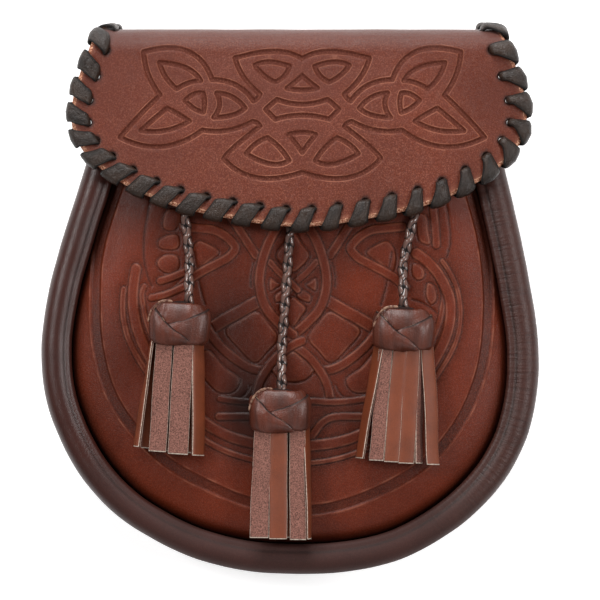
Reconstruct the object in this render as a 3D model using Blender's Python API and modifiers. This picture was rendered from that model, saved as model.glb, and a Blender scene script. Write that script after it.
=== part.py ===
"""Leather sporran pouch with a laced flap, a padded piping and three tassels.

The pouch is drawn in its own frame: +X to the right seen from the front, +Y up to the flap's
fold, +Z out of the front, and z = 0 on the outer face of the back panel. One empty then leans
all of it by REST_TILT, so that it lies on its strap loop and on the foot of its back.
"""

import math

import bmesh
import bpy
import numpy as np
from mathutils import Matrix, Vector

MM = 0.001
GAP = 0.3 * MM  # left between pieces that touch

# Body
BACK_THICKNESS = 2.4 * MM
WALL_THICKNESS = 2.0 * MM
PANEL_THICKNESS = 2.2 * MM
PIPING_RADIUS = 5.5 * MM
SEAM_FOOT = 36.0 * MM  # centre of the piping above the back, at the foot of the pouch
SEAM_TOP = 20.0 * MM  # the same at the mouth
BODY_TOP = 87.0 * MM
WALL_BULGE = 1.2 * MM
BACK_MARGIN = 3.5 * MM  # from the outer edge of the piping to the edge of the back
PANEL_SINK = 1.5 * MM  # the panel dives this far under the piping's centre at its edge
PANEL_CROWN = 5.5 * MM  # and stands this far over it in the middle
PANEL_TURN = 7.0 * MM  # distance from the edge over which most of the dive takes place
PANEL_SEAT = 0.6 * MM  # from the piping to the edge of the panel, both of them many-sided

# Outer edge of the piping seen from the front, in mm.
BODY_OUTLINE = (
    # y, left, right
    (90.0, -65.2, 69.2),
    (66.0, -72.4, 76.2),
    (48.0, -77.4, 80.8),
    (26.0, -84.3, 86.0),
    (4.0, -90.4, 90.4),
    (-19.0, -93.4, 93.4),
    (-38.0, -91.6, 92.4),
    (-53.0, -86.3, 88.6),
    (-68.0, -77.6, 80.7),
    (-80.5, -66.0, 69.5),
    (-90.5, -51.0, 56.0),
    (-98.0, -34.0, 41.0),
    (-102.3, -15.0, 22.0),
)
BODY_FOOT = (3.6, -103.3)

# Flap: a flat pattern that is bent over the mouth
FLAP_X = 3.4 * MM  # the flap sits a little to the right
FLAP_THICKNESS = 2.5 * MM
FLAP_CREST = 100.8 * MM  # highest point of the fold
FLAP_FOLD_RADIUS = 9.5 * MM
FLAP_LEG = 24.0 * MM  # sewn outside the back panel
FLAP_CLEARANCE = 8.2 * MM  # middle of the leather above the piping's centre, at the sides
FLAP_BULGE = 5.6 * MM  # more than that over the middle of the lower edge
FLAP_BULGE_HALF_WIDTH = 86.0 * MM
FLAP_COLUMNS = 13
FLAP_BEND_ROWS = 6
FLAP_FRONT_ROWS = 17

# Right half of the flat pattern in mm, b measured from the crest of the fold to the front.
FLAP_PATTERN = (
    # a, b
    (12.0, 82.6),
    (24.0, 80.7),
    (36.0, 78.4),
    (48.0, 75.3),
    (60.0, 70.4),
    (71.2, 64.0),
    (79.8, 56.4),
    (84.6, 47.2),
    (84.7, 37.0),
    (82.2, 27.0),
    (78.6, 17.0),
    (75.8, 8.0),
    (74.6, 0.0),
    (74.0, -12.0),
    (72.5, -26.0),
    (70.0, -44.0),
)
FLAP_TIP = 83.4  # b at the middle of the lower edge

# Lacing
LACE_HOLES = 32
LACE_PITCH = 10.35 * MM  # along the edge of the leather
LACE_HOLE_RADIUS = 1.7 * MM
LACE_HOLE_INSET = 6.4 * MM
LACE_BEND_LIFT = 0.6 * MM  # a flat strip stands off the outside of the fold

# One stitch from a hole over the front to the edge, in mm. The way back is its mirror image.
LACE_STITCH = (
    # inner o, inner h, outer o, outer h, share of the pitch, width
    (-5.9, 0.00, -6.9, 0.00, 0.00, 2.2),
    (-5.9, 1.30, -6.9, 1.80, 0.00, 2.2),
    (-5.5, 1.65, -5.9, 2.60, 0.05, 2.9),
    (-4.0, 1.60, -4.0, 2.60, 0.17, 5.4),
    (-0.1, 1.60, 0.2, 2.60, 0.48, 6.2),
    (0.35, 1.00, 1.3, 1.20, 0.50, 6.2),
)

# Hidden closure and strap loop
STUD_PLACE = (3.4 * MM, 47.0 * MM)
STUD_RADIUS = 5.0 * MM
STUD_GAP = 0.4 * MM
LOOP_WIDTH = 80.0 * MM
LOOP_THICKNESS = 2.2 * MM
LOOP_X = 1.5 * MM
LOOP_FOOT = 8.0 * MM  # lower end of the lower flange
LOOP_FLANGE = 6.0 * MM
LOOP_SHOULDER = 4.5 * MM  # run over which the band leaves the back
LOOP_BAND = 36.0 * MM  # flat band that lies on the ground

# Tassels: places of the knot's top and of the skirt's lower end, and the cord above.
CORD_RADIUS = 2.05 * MM
CORD_HOLE_RADIUS = 3.4 * MM
CORD_HOLE_SHIFT = -0.6 * MM
CORD_BEND = 4.0 * MM
CORD_TAIL = 5.0 * MM  # length inside the pouch
CORD_RUN_STEP = 9.0 * MM  # between the route's own points where the cord lies on the panel
CORD_RISE = 14.0 * MM  # the cord leaves the panel this far above the knot
CORD_POINT_STEP = 3.2 * MM
KNOT_LIFT = 6.8 * MM  # middle of the knot above the panel
KNOT_FLATNESS = 0.56
KNOT_SIDES = 16
TASSELS = (
    # name, knot x, knot y, skirt x, skirt y, hole x, hole y, cord x at knot (mm), spread
    ("left", -40.4, -0.4, -43.9, -57.2, -39.6, 46.0, -37.6, 1.04),
    ("middle", -3.6, -32.6, -3.8, -89.0, 0.3, 39.0, -3.0, 1.0),
    ("right", 42.6, -2.4, 40.2, -60.2, 47.0, 44.0, 42.2, 1.13),
)

# Turned profile of a knot, from its top down, in mm.
KNOT_PROFILE = (
    # radius, y
    (0.0, 0.0),
    (5.6, 0.0),
    (9.2, -1.4),
    (11.2, -5.0),
    (11.7, -9.8),
    (10.8, -14.2),
    (8.6, -16.2),
    (0.0, -16.2),
)

# Sections of a skirt, y as a share of its length, in mm.
SKIRT_SECTIONS = (
    # share, half width, half depth, drop, notch
    (0.00, 8.8, 4.4, 0.8, 1.00),
    (0.10, 9.8, 4.6, 1.2, 0.86),
    (0.50, 11.4, 4.6, 1.8, 0.72),
    (1.00, 12.8, 4.3, 2.1, 0.66),
)
SKIRT_STRIPS = 7
SKIRT_STRIP_POINTS = (0.0, 0.13, 0.5, 0.87)  # the notch, then the strip's edges and middle

# Rest
REST_TILT = math.radians(3.3)
REST_MIDDLE_HEIGHT = 33.0 * MM  # height in the pouch that keeps its y when it is leant back

# Plain colours
MATERIALS = {
    # base colour, roughness, metallic
    "panel_leather": ((0.150, 0.038, 0.022), 0.45, 0.0),
    "back_leather": ((0.130, 0.040, 0.024), 0.60, 0.0),
    "gusset_leather": ((0.110, 0.032, 0.020), 0.50, 0.0),
    "piping_leather": ((0.035, 0.018, 0.014), 0.40, 0.0),
    "flap_leather": ((0.190, 0.050, 0.028), 0.42, 0.0),
    "lace_leather": ((0.030, 0.020, 0.017), 0.35, 0.0),
    "loop_leather": ((0.120, 0.036, 0.022), 0.55, 0.0),
    "cord_leather": ((0.028, 0.016, 0.013), 0.35, 0.0),
    "knot_leather": ((0.075, 0.026, 0.018), 0.38, 0.0),
    "tassel_leather": ((0.200, 0.070, 0.045), 0.60, 0.0),
    "stud_brass": ((0.550, 0.400, 0.180), 0.35, 1.0),
}


# ---- Curves and surfaces as formulas ------------------------------------------------------


def arc_lengths(path):
    """Distance along a polyline at each of its points."""
    return np.r_[0.0, np.cumsum(np.linalg.norm(np.diff(path, axis=0), axis=1))]


def evenly(path, count):
    """The same polyline with evenly spaced points."""
    along = arc_lengths(path)
    wanted = np.linspace(0.0, along[-1], count)
    return np.stack([np.interp(wanted, along, column) for column in path.T], axis=1)


def smooth_curve(knots, count=1200):
    """Evenly spaced points on a smooth curve through the knots: cubic pieces whose slopes at
    the knots are those of the parabola through three neighbours."""
    knots = np.asarray(knots, float)
    chord = arc_lengths(knots)
    slope = np.gradient(knots, chord, axis=0, edge_order=2)
    at = np.linspace(0.0, chord[-1], 4 * count)
    k = np.clip(np.searchsorted(chord, at, side="right") - 1, 0, len(chord) - 2)
    span = (chord[k + 1] - chord[k])[:, None]
    u = (at - chord[k])[:, None] / span
    curve = (
        (1 + 2 * u) * (1 - u) ** 2 * knots[k]
        + u * (1 - u) ** 2 * span * slope[k]
        + u**2 * (3 - 2 * u) * knots[k + 1]
        + u**2 * (u - 1) * span * slope[k + 1]
    )
    return evenly(curve, count)


def left_normals(path):
    """Unit normals on the left of a flat path."""
    along = np.gradient(path, axis=0)
    along /= np.linalg.norm(along, axis=1)[:, None]
    return np.stack([-along[:, 1], along[:, 0]], axis=1)


def distance_to(path, places):
    """Shortest distance from each place to a polyline."""
    start, run = path[:-1], np.diff(path, axis=0)
    offset = places[..., None, :] - start
    share = np.clip((offset * run).sum(axis=-1) / (run**2).sum(axis=-1), 0.0, 1.0)
    return np.linalg.norm(offset - share[..., None] * run, axis=-1).min(axis=-1)


def body_outline():
    """Piping's outer edge: down the left side, round the foot and up the right side."""
    table = np.array(BODY_OUTLINE)
    left = table[:, [1, 0]]
    right = table[::-1][:, [2, 0]]
    return smooth_curve(np.vstack([left, [BODY_FOOT], right]) * MM)


OUTLINE = body_outline()
OUTLINE_NORMALS = left_normals(OUTLINE)


def inset_outline(distance, top=BODY_TOP):
    """The outline moved inwards, cut off at the top of the body."""
    path = OUTLINE + distance * OUTLINE_NORMALS
    return path[path[:, 1] <= top]


def side_edges(path, y):
    """Left and right x of a body path at the heights y."""
    foot = int(np.argmin(path[:, 1]))
    left = np.interp(y, path[foot::-1, 1], path[foot::-1, 0])
    right = np.interp(y, path[foot:, 1], path[foot:, 0])
    return left, right


def seam_height(y):
    """Height of the piping's centre above the back: a straight taper to the mouth."""
    foot = OUTLINE[:, 1].min() + PIPING_RADIUS
    return SEAM_FOOT + (SEAM_TOP - SEAM_FOOT) * (y - foot) / (BODY_TOP - foot)


SEAM_SLOPE = math.atan((SEAM_FOOT - SEAM_TOP) / (BODY_TOP - OUTLINE[:, 1].min() - PIPING_RADIUS))
PANEL_EDGE = inset_outline(2 * PIPING_RADIUS + PANEL_SEAT, BODY_TOP - 1 * MM)


def panel_height(x, y):
    """Outer face of the front panel: it leaves its sunk edge steeply and levels off."""
    edge = distance_to(PANEL_EDGE[::6], np.stack(np.broadcast_arrays(x, y), axis=-1))
    rise = (PANEL_SINK + PANEL_CROWN) * (1 - np.exp(-edge / PANEL_TURN))
    return seam_height(y) - PANEL_SINK + rise


# ---- The flap's bending -------------------------------------------------------------------

FLAP_LEG_HEIGHT = -GAP - FLAP_THICKNESS / 2
FLAP_BEND_Y = FLAP_CREST - FLAP_THICKNESS / 2 - FLAP_FOLD_RADIUS
FRONT_HEADING = math.pi - SEAM_SLOPE
FRONT_BEND = FLAP_FOLD_RADIUS * (FRONT_HEADING - math.pi / 2)
BACK_BEND = FLAP_FOLD_RADIUS * math.pi / 2
FLAP_WALL = (
    seam_height(FLAP_BEND_Y)
    + FLAP_CLEARANCE
    - FLAP_LEG_HEIGHT
    - FLAP_FOLD_RADIUS
    - FLAP_FOLD_RADIUS * math.sin(FRONT_HEADING - math.pi / 2)
)
FLAP_FRONT_START = FLAP_WALL / 2 + FRONT_BEND
FLAP_BACK_START = -FLAP_WALL / 2 - BACK_BEND


def flap_section():
    """Heading, y and z along the leather, from the end of the leg to the front's tip."""
    turns = (
        # b, heading
        (FLAP_BACK_START - FLAP_LEG, 0.0),
        (FLAP_BACK_START, 0.0),
        (-FLAP_WALL / 2, math.pi / 2),
        (FLAP_WALL / 2, math.pi / 2),
        (FLAP_FRONT_START, FRONT_HEADING),
        ((FLAP_TIP + 5.0) * MM, FRONT_HEADING),
    )
    at, heading = np.array(turns).T
    b = np.linspace(at[0], at[-1], 4000)
    angle = np.interp(b, at, heading)
    steps = np.diff(b)
    middle = (angle[1:] + angle[:-1]) / 2
    y = np.r_[0.0, np.cumsum(np.cos(middle) * steps)] + FLAP_BEND_Y - FLAP_LEG
    z = np.r_[0.0, np.cumsum(np.sin(middle) * steps)] + FLAP_LEG_HEIGHT
    return b, y, z


SECTION_B, SECTION_Y, SECTION_Z = flap_section()


def flap_middle(a, b):
    """Middle of the leather at the flat pattern's place (a, b)."""
    down = np.clip((b - FLAP_FRONT_START) / (FLAP_TIP * MM - FLAP_FRONT_START), 0.0, 1.0)
    bulge = FLAP_BULGE * (1 - (a / FLAP_BULGE_HALF_WIDTH) ** 2) * down * (2 - down)
    y = np.interp(b, SECTION_B, SECTION_Y)
    z = np.interp(b, SECTION_B, SECTION_Z)
    return np.stack([FLAP_X + a, y, z + bulge], axis=-1)


def flap_normals(a, b):
    """Outward unit normals of the flap, from small steps across and along the leather."""
    step = 0.2 * MM
    across = flap_middle(a + step, b) - flap_middle(a - step, b)
    along = flap_middle(a, b + step) - flap_middle(a, b - step)
    normal = np.cross(along, across)
    return normal / np.linalg.norm(normal, axis=-1)[..., None]


def flap_place(a, b, h):
    """The point h above the middle of the leather at (a, b)."""
    return flap_middle(a, b) + np.asarray(h)[..., None] * flap_normals(a, b)


def flap_edge():
    """Edge of the flat pattern: from the left end of the leg, round the tip, to the right."""
    right = np.array(FLAP_PATTERN)
    left = right[::-1] * (-1, 1)
    return smooth_curve(np.vstack([left, [(0.0, FLAP_TIP)], right]) * MM)


FLAP_EDGE = flap_edge()
FLAP_EDGE_LENGTHS = arc_lengths(FLAP_EDGE)
FLAP_EDGE_OUTWARD = left_normals(FLAP_EDGE)


def edge_place(s, o, h):
    """The point at distance s from the tip along the flap's edge, o outside it and h above."""
    along = s + FLAP_EDGE_LENGTHS[-1] / 2
    place = []
    for axis in (0, 1):
        edge = np.interp(along, FLAP_EDGE_LENGTHS, FLAP_EDGE[:, axis])
        out = np.interp(along, FLAP_EDGE_LENGTHS, FLAP_EDGE_OUTWARD[:, axis])
        place.append(edge + o * out)
    a, b = place
    in_bend = (np.abs(b) > FLAP_WALL / 2 - 2 * MM) & (b < FLAP_FRONT_START + 3 * MM)
    in_bend &= b > FLAP_BACK_START - 3 * MM
    lift = np.where(in_bend & (h > FLAP_THICKNESS / 2), LACE_BEND_LIFT, 0.0)
    return flap_place(a, b, h + lift)


# ---- Making objects -----------------------------------------------------------------------


def fresh_scene():
    """An empty scene with a collection for the pouch, one for its cutters, and the lean."""
    for old in list(bpy.data.objects):
        bpy.data.objects.remove(old, do_unlink=True)
    parts = bpy.data.collections.new("sporran_pouch")
    cutters = bpy.data.collections.new("cutters")
    bpy.context.scene.collection.children.link(parts)
    bpy.context.scene.collection.children.link(cutters)
    lean = bpy.data.objects.new("rest_lean", None)
    lean.rotation_euler = (REST_TILT, 0.0, 0.0)
    foot = -inset_outline(BACK_MARGIN)[:, 1].min()
    lean.location = (0.0, REST_MIDDLE_HEIGHT * math.sin(REST_TILT), foot * math.sin(REST_TILT))
    parts.objects.link(lean)
    return parts, cutters, lean


PARTS, CUTTERS, LEAN = fresh_scene()


def floor_height(y):
    """Height in the pouch's frame of the ground that the leant pouch lies on."""
    return -(LEAN.location.z + y * math.sin(REST_TILT)) / math.cos(REST_TILT)


def material(name):
    """A plain Principled material."""
    if name in bpy.data.materials:
        return bpy.data.materials[name]
    colour, roughness, metallic = MATERIALS[name]
    made = bpy.data.materials.new(name)
    made.use_nodes = True
    shader = made.node_tree.nodes["Principled BSDF"]
    shader.inputs["Base Color"].default_value = (*colour, 1.0)
    shader.inputs["Roughness"].default_value = roughness
    shader.inputs["Metallic"].default_value = metallic
    return made


def add_part(name, data, material_name):
    """A named piece of the pouch."""
    part = bpy.data.objects.new(name, data)
    data.materials.append(material(material_name))
    PARTS.objects.link(part)
    part.parent = LEAN
    return part


def mesh_from(shape, name):
    """A smooth-shaded mesh from a bmesh, which is used up."""
    bmesh.ops.recalc_face_normals(shape, faces=shape.faces)
    mesh = bpy.data.meshes.new(name)
    shape.to_mesh(mesh)
    shape.free()
    mesh.shade_smooth()
    return mesh


def bent_sheet(name, columns, rows, place, thickness, offset, material_name):
    """A grid laid out by place(u, v), u and v from 0 to 1, and thickened into leather."""
    grid = bmesh.new()
    bmesh.ops.create_grid(grid, x_segments=columns, y_segments=rows, size=0.5)
    flat = np.array([vert.co[:2] for vert in grid.verts]) + 0.5
    for vert, point in zip(grid.verts, place(flat[:, 0], flat[:, 1])):
        vert.co = point
    mesh = bpy.data.meshes.new(name)
    grid.to_mesh(mesh)
    grid.free()
    mesh.shade_smooth()
    sheet = add_part(name, mesh, material_name)
    solid = sheet.modifiers.new("thickness", "SOLIDIFY")
    solid.thickness = thickness
    solid.offset = offset
    return sheet


def drill(sheet, name, centres, directions, radius, length):
    """Round holes through a sheet, cut by cylinders joined in one cutter."""
    shape = bmesh.new()
    for centre, direction in zip(centres, directions):
        turn = Matrix.Translation(centre) @ direction.to_track_quat("Z", "Y").to_matrix().to_4x4()
        bmesh.ops.create_cone(
            shape, cap_ends=True, segments=8, radius1=radius, radius2=radius, depth=length, matrix=turn
        )
    cutter = bpy.data.objects.new(name, mesh_from(shape, name))
    cutter.hide_render = True
    cutter.display_type = "WIRE"
    cutter.parent = LEAN
    CUTTERS.objects.link(cutter)
    cut = sheet.modifiers.new(name, "BOOLEAN")
    cut.operation = "DIFFERENCE"
    cut.object = cutter


def tube(name, points, radius, resolution, material_name):
    """A round cord or roll along a list of points."""
    curve = bpy.data.curves.new(name, "CURVE")
    curve.dimensions = "3D"
    curve.bevel_depth = radius
    curve.bevel_resolution = resolution
    curve.use_fill_caps = True
    spline = curve.splines.new("POLY")
    spline.points.add(len(points) - 1)
    spline.points.foreach_set("co", np.c_[points, np.ones(len(points))].ravel())
    spline.use_smooth = True
    return add_part(name, curve, material_name)


def lofted(name, rings, material_name):
    """A closed solid through rings of points, each ring with the same number of them."""
    shape = bmesh.new()
    loops = [[shape.verts.new(point) for point in ring] for ring in rings]
    for lower, upper in zip(loops, loops[1:]):
        for k in range(len(lower)):
            n = (k + 1) % len(lower)
            shape.faces.new((lower[k], lower[n], upper[n], upper[k]))
    shape.faces.new(loops[0][::-1])
    shape.faces.new(loops[-1])
    return add_part(name, mesh_from(shape, name), material_name)


# ---- Body ---------------------------------------------------------------------------------


def make_front_panel():
    """The domed front. Its rows are level sections, closer together round the foot."""
    shares = (0.0, 0.03, 0.09, 0.19, 0.34, 0.5, 0.66, 0.81, 0.91, 0.97, 1.0)
    foot = int(np.argmin(PANEL_EDGE[:, 1]))
    heights = evenly(PANEL_EDGE[: foot + 1], 24)[:-1, 1]

    def place(u, v):
        y = np.interp(v, np.linspace(0, 1, len(heights)), heights[::-1])
        left, right = side_edges(PANEL_EDGE, y)
        x = left + (right - left) * np.interp(u, np.linspace(0, 1, len(shares)), shares)
        return np.stack([x, y, panel_height(x, y)], axis=1)

    rows = len(heights) - 1
    panel = bent_sheet(
        "front_panel", len(shares) - 1, rows, place, PANEL_THICKNESS, -1.0, "panel_leather"
    )
    centres = []
    for tassel in TASSELS:
        x, y = tassel[5] * MM, tassel[6] * MM + CORD_HOLE_SHIFT
        centres.append((x, y, float(panel_height(x, y))))
    up = [Vector((0.0, 0.0, 1.0))] * len(centres)
    drill(panel, "cord_hole_cutter", centres, up, CORD_HOLE_RADIUS, 12 * MM)


def make_back_panel():
    """The flat back: the outline with a straight top."""
    edge = evenly(inset_outline(BACK_MARGIN), 52)
    curve = bpy.data.curves.new("back_panel", "CURVE")
    curve.dimensions = "2D"
    curve.fill_mode = "BOTH"
    curve.extrude = BACK_THICKNESS / 2
    spline = curve.splines.new("POLY")
    spline.points.add(len(edge) - 1)
    flat = np.c_[edge, np.zeros(len(edge)), np.ones(len(edge))]
    spline.points.foreach_set("co", flat.ravel())
    spline.use_cyclic_u = True
    back = add_part("back_panel", curve, "back_leather")
    back.location.z = BACK_THICKNESS / 2


def make_gusset():
    """The side wall, from the back panel to the underside of the piping."""
    path = evenly(inset_outline(PIPING_RADIUS), 50)
    normals = left_normals(path)

    def place(u, v):
        at = u * (len(path) - 1)
        k = np.arange(len(path))
        out = WALL_BULGE * np.sin(math.pi * v)
        x = np.interp(at, k, path[:, 0]) - out * np.interp(at, k, normals[:, 0])
        y = np.interp(at, k, path[:, 1]) - out * np.interp(at, k, normals[:, 1])
        low = BACK_THICKNESS + GAP
        high = seam_height(y) - PIPING_RADIUS - GAP
        return np.stack([x, y, low + (high - low) * v], axis=1)

    bent_sheet("gusset", len(path) - 1, 3, place, WALL_THICKNESS, 0.0, "gusset_leather")


def make_front_piping():
    """The padded roll that the front seam is dressed with."""
    path = evenly(inset_outline(PIPING_RADIUS), 56)
    points = np.c_[path, seam_height(path[:, 1])]
    tube("front_piping", points, PIPING_RADIUS, 3, "piping_leather")


def make_strap_loop():
    """A band bent out from the back, sewn on by a flange at either end."""
    flange = -GAP - LOOP_THICKNESS / 2
    band_foot = LOOP_FOOT + LOOP_FLANGE + LOOP_SHOULDER
    lift = LOOP_THICKNESS / 2 / math.cos(REST_TILT)
    profile = []
    for y in (LOOP_FOOT, LOOP_FOOT + LOOP_FLANGE):
        profile.append((y, flange))
    for y in (band_foot, band_foot + LOOP_BAND):
        profile.append((y, floor_height(y) + lift))
    for y in (0.0, LOOP_FLANGE):
        profile.append((band_foot + LOOP_BAND + LOOP_SHOULDER + y, flange))
    profile = np.array(profile)

    def place(u, v):
        at = v * (len(profile) - 1)
        k = np.arange(len(profile))
        y = np.interp(at, k, profile[:, 0])
        z = np.interp(at, k, profile[:, 1])
        return np.stack([LOOP_X + (u - 0.5) * LOOP_WIDTH, y, z], axis=1)

    loop = bent_sheet(
        "back_strap_loop", 2, len(profile) - 1, place, LOOP_THICKNESS, 0.0, "loop_leather"
    )
    loop.modifiers["thickness"].use_even_offset = True
    loop.data.shade_flat()


# ---- Flap and lacing ----------------------------------------------------------------------


def lace_hole_places():
    """Places along the flap's edge of the lacing holes, even about the tip."""
    return (np.arange(LACE_HOLES) - (LACE_HOLES - 1) / 2) * LACE_PITCH


def make_flap():
    """Rows across the flat pattern, close together in the two bends and round the tip."""
    half = FLAP_EDGE[FLAP_EDGE[:, 0] >= 0]
    front = half[half[:, 1] >= FLAP_FRONT_START]
    tip_rows = evenly(front, FLAP_FRONT_ROWS + 1)[1:-1, 1]
    back_rows = np.linspace(FLAP_BACK_START, -FLAP_WALL / 2, FLAP_BEND_ROWS + 1)
    front_rows = np.linspace(FLAP_WALL / 2, FLAP_FRONT_START, FLAP_BEND_ROWS + 1)
    leg_end = FLAP_BACK_START - FLAP_LEG
    b_rows = np.unique(np.r_[leg_end, leg_end + FLAP_LEG / 2, back_rows, front_rows, tip_rows])
    b_rows = b_rows[::-1]

    def place(u, v):
        b = np.interp(v, np.linspace(0, 1, len(b_rows)), b_rows)
        width = np.interp(b, half[::-1, 1], half[::-1, 0])
        return flap_middle((2 * u - 1) * width, b)

    flap = bent_sheet(
        "flap", FLAP_COLUMNS, len(b_rows) - 1, place, FLAP_THICKNESS, 0.0, "flap_leather"
    )
    holes = lace_hole_places()
    below = edge_place(holes, -LACE_HOLE_INSET, np.full(LACE_HOLES, -1 * MM))
    above = edge_place(holes, -LACE_HOLE_INSET, np.full(LACE_HOLES, 1 * MM))
    directions = [Vector(step) for step in above - below]
    drill(flap, "lace_hole_cutter", (above + below) / 2, directions, LACE_HOLE_RADIUS, 7 * MM)


def make_flap_lacing():
    """One flat strip whipped round the edge. Each stitch leaves its hole on the front, runs
    back half a pitch to the edge, and half a pitch more under the flap to the last hole."""
    under = [(io, -ih, oo, -oh, 1 - share, width) for io, ih, oo, oh, share, width in LACE_STITCH[:0:-1]]
    rings = []
    for hole in lace_hole_places()[:0:-1]:
        for inner_o, inner_h, outer_o, outer_h, share, width in (*LACE_STITCH, *under):
            s = hole - share * LACE_PITCH
            half = width / 2 * MM
            corners = (
                (s - half, inner_o, inner_h),
                (s + half, inner_o, inner_h),
                (s + half, outer_o, outer_h),
                (s - half, outer_o, outer_h),
            )
            rings.append([edge_place(t, o * MM, np.float64(h * MM)) for t, o, h in corners])
    lofted("flap_lacing", rings, "lace_leather")


def make_flap_stud():
    """The hidden closure between the panel and the flap."""
    x, y = STUD_PLACE
    low = float(panel_height(x, y)) + STUD_GAP
    b = np.interp(-y, -SECTION_Y[SECTION_B > 0], SECTION_B[SECTION_B > 0])
    high = float(flap_middle(x - FLAP_X, b)[2]) - FLAP_THICKNESS / 2 - STUD_GAP
    shape = bmesh.new()
    tilt = Matrix.Rotation(-SEAM_SLOPE, 4, "X")
    bmesh.ops.create_cone(
        shape,
        cap_ends=True,
        segments=16,
        radius1=STUD_RADIUS,
        radius2=STUD_RADIUS,
        depth=high - low,
        matrix=Matrix.Translation((x, y, (high + low) / 2)) @ tilt,
    )
    add_part("flap_stud", mesh_from(shape, "flap_stud"), "stud_brass")


# ---- Tassels ------------------------------------------------------------------------------


def tassel_frame(knot_x, knot_y, skirt_x, skirt_y):
    """Placing of a tassel: its own -Y runs down it, along the slope of the panel."""
    lean = math.atan2(skirt_x - knot_x, knot_y - skirt_y)
    height = float(panel_height(knot_x, knot_y)) + KNOT_LIFT
    place = Matrix.Translation((knot_x, knot_y, height))
    return place @ Matrix.Rotation(-SEAM_SLOPE, 4, "X") @ Matrix.Rotation(lean, 4, "Z")


def make_knot(name, frame):
    """A turned knot, flattened as it lies on the panel."""
    turned = bmesh.new()
    last = None
    for radius, y in KNOT_PROFILE:
        vert = turned.verts.new((radius * MM, 0.0, y * MM))
        if last:
            turned.edges.new((last, vert))
        last = vert
    bmesh.ops.spin(
        turned,
        geom=turned.verts[:] + turned.edges[:],
        axis=(0, 0, 1),
        cent=(0, 0, 0),
        angle=2 * math.pi,
        steps=KNOT_SIDES,
        use_merge=True,
    )
    bmesh.ops.remove_doubles(turned, verts=turned.verts, dist=0.01 * MM)
    flatten = Matrix.Diagonal((1.0, 1.0, KNOT_FLATNESS, 1.0)) @ Matrix.Rotation(-math.pi / 2, 4, "X")
    turned.transform(flatten)
    knot = add_part(name, mesh_from(turned, name), "knot_leather")
    knot.matrix_local = frame


def make_skirt(name, frame, length, spread):
    """Strips fused side by side into one tube of an oval section, notched between them."""
    knot_length = -KNOT_PROFILE[-1][1] * MM
    rings = []
    for share, half_width, half_depth, drop, notch in SKIRT_SECTIONS:
        y = -knot_length - GAP - share * length
        width = half_width * MM * (1 + (spread - 1) * share)
        ring = []
        for strip in range(SKIRT_STRIPS):
            for point in SKIRT_STRIP_POINTS:
                angle = 2 * math.pi * (strip + point) / SKIRT_STRIPS
                reach = notch if point == 0.0 else 1.0
                x = width * math.cos(angle) * reach
                z = half_depth * MM * math.sin(angle) * reach - drop * MM
                ring.append((x, y, z))
        rings.append(ring)
    skirt = lofted(name, rings, "tassel_leather")
    skirt.matrix_local = frame


def make_cord(name, hole_x, hole_y, top, cord_x):
    """From inside the pouch, out of its hole, over the panel and up to the knot's top."""
    above = CORD_RADIUS + GAP
    bend_base = float(panel_height(hole_x, hole_y)) + above - CORD_BEND
    route = [(hole_x, hole_y, bend_base - CORD_TAIL), (hole_x, hole_y, bend_base - CORD_TAIL / 2)]
    for turn in np.radians((0.0, 30.0, 60.0, 90.0)):
        y = hole_y - CORD_BEND * (1 - math.cos(turn))
        route.append((hole_x, y, bend_base + CORD_BEND * math.sin(turn)))
    end_y = top[1] + 2 * GAP
    run = np.array([(hole_x, hole_y - 2.5 * CORD_BEND), (cord_x, end_y + CORD_RISE)])
    for x, y in evenly(run, round((run[0, 1] - run[1, 1]) / CORD_RUN_STEP) + 1):
        route.append((x, y, float(panel_height(x, y)) + above))
    level = float(panel_height(cord_x, end_y)) + above
    for left in (0.66, 0.33, 0.12, 0.0):
        rise = (1 - left) ** 2 * (1 + 2 * left)
        route.append((cord_x, end_y + CORD_RISE * left, level + (top[2] - level) * rise))
    curve = smooth_curve(route)
    count = round(arc_lengths(curve)[-1] / CORD_POINT_STEP)
    tube(name, evenly(curve, count), CORD_RADIUS, 2, "cord_leather")


def make_tassels():
    """Cord, knot and skirt of each tassel."""
    knot_length = -KNOT_PROFILE[-1][1] * MM
    for side, *places, spread in TASSELS:
        knot_x, knot_y, skirt_x, skirt_y, hole_x, hole_y, cord_x = np.array(places) * MM
        frame = tassel_frame(knot_x, knot_y, skirt_x, skirt_y)
        length = math.hypot(skirt_x - knot_x, knot_y - skirt_y) - knot_length - GAP
        make_knot(f"tassel_knot_{side}", frame)
        make_skirt(f"tassel_skirt_{side}", frame, length, spread)
        make_cord(f"cord_{side}", hole_x, hole_y, frame.to_translation(), cord_x)


make_front_panel()
make_back_panel()
make_gusset()
make_front_piping()
make_strap_loop()
make_flap()
make_flap_lacing()
make_flap_stud()
make_tassels()
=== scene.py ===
import math

import bpy
import numpy as np
from mathutils.geometry import delaunay_2d_cdt
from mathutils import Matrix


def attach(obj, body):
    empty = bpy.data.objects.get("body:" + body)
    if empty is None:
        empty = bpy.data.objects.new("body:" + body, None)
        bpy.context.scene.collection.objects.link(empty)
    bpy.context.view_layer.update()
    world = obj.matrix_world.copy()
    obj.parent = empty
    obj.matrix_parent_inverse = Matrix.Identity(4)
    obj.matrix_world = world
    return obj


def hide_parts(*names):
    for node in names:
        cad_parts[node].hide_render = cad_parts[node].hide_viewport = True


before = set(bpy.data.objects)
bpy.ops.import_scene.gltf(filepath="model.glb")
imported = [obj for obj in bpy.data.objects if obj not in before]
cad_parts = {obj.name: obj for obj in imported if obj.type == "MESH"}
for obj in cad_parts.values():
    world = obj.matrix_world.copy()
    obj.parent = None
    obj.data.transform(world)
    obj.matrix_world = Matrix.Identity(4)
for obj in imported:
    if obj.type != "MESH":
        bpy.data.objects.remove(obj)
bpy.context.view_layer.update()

scene = bpy.context.scene
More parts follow.
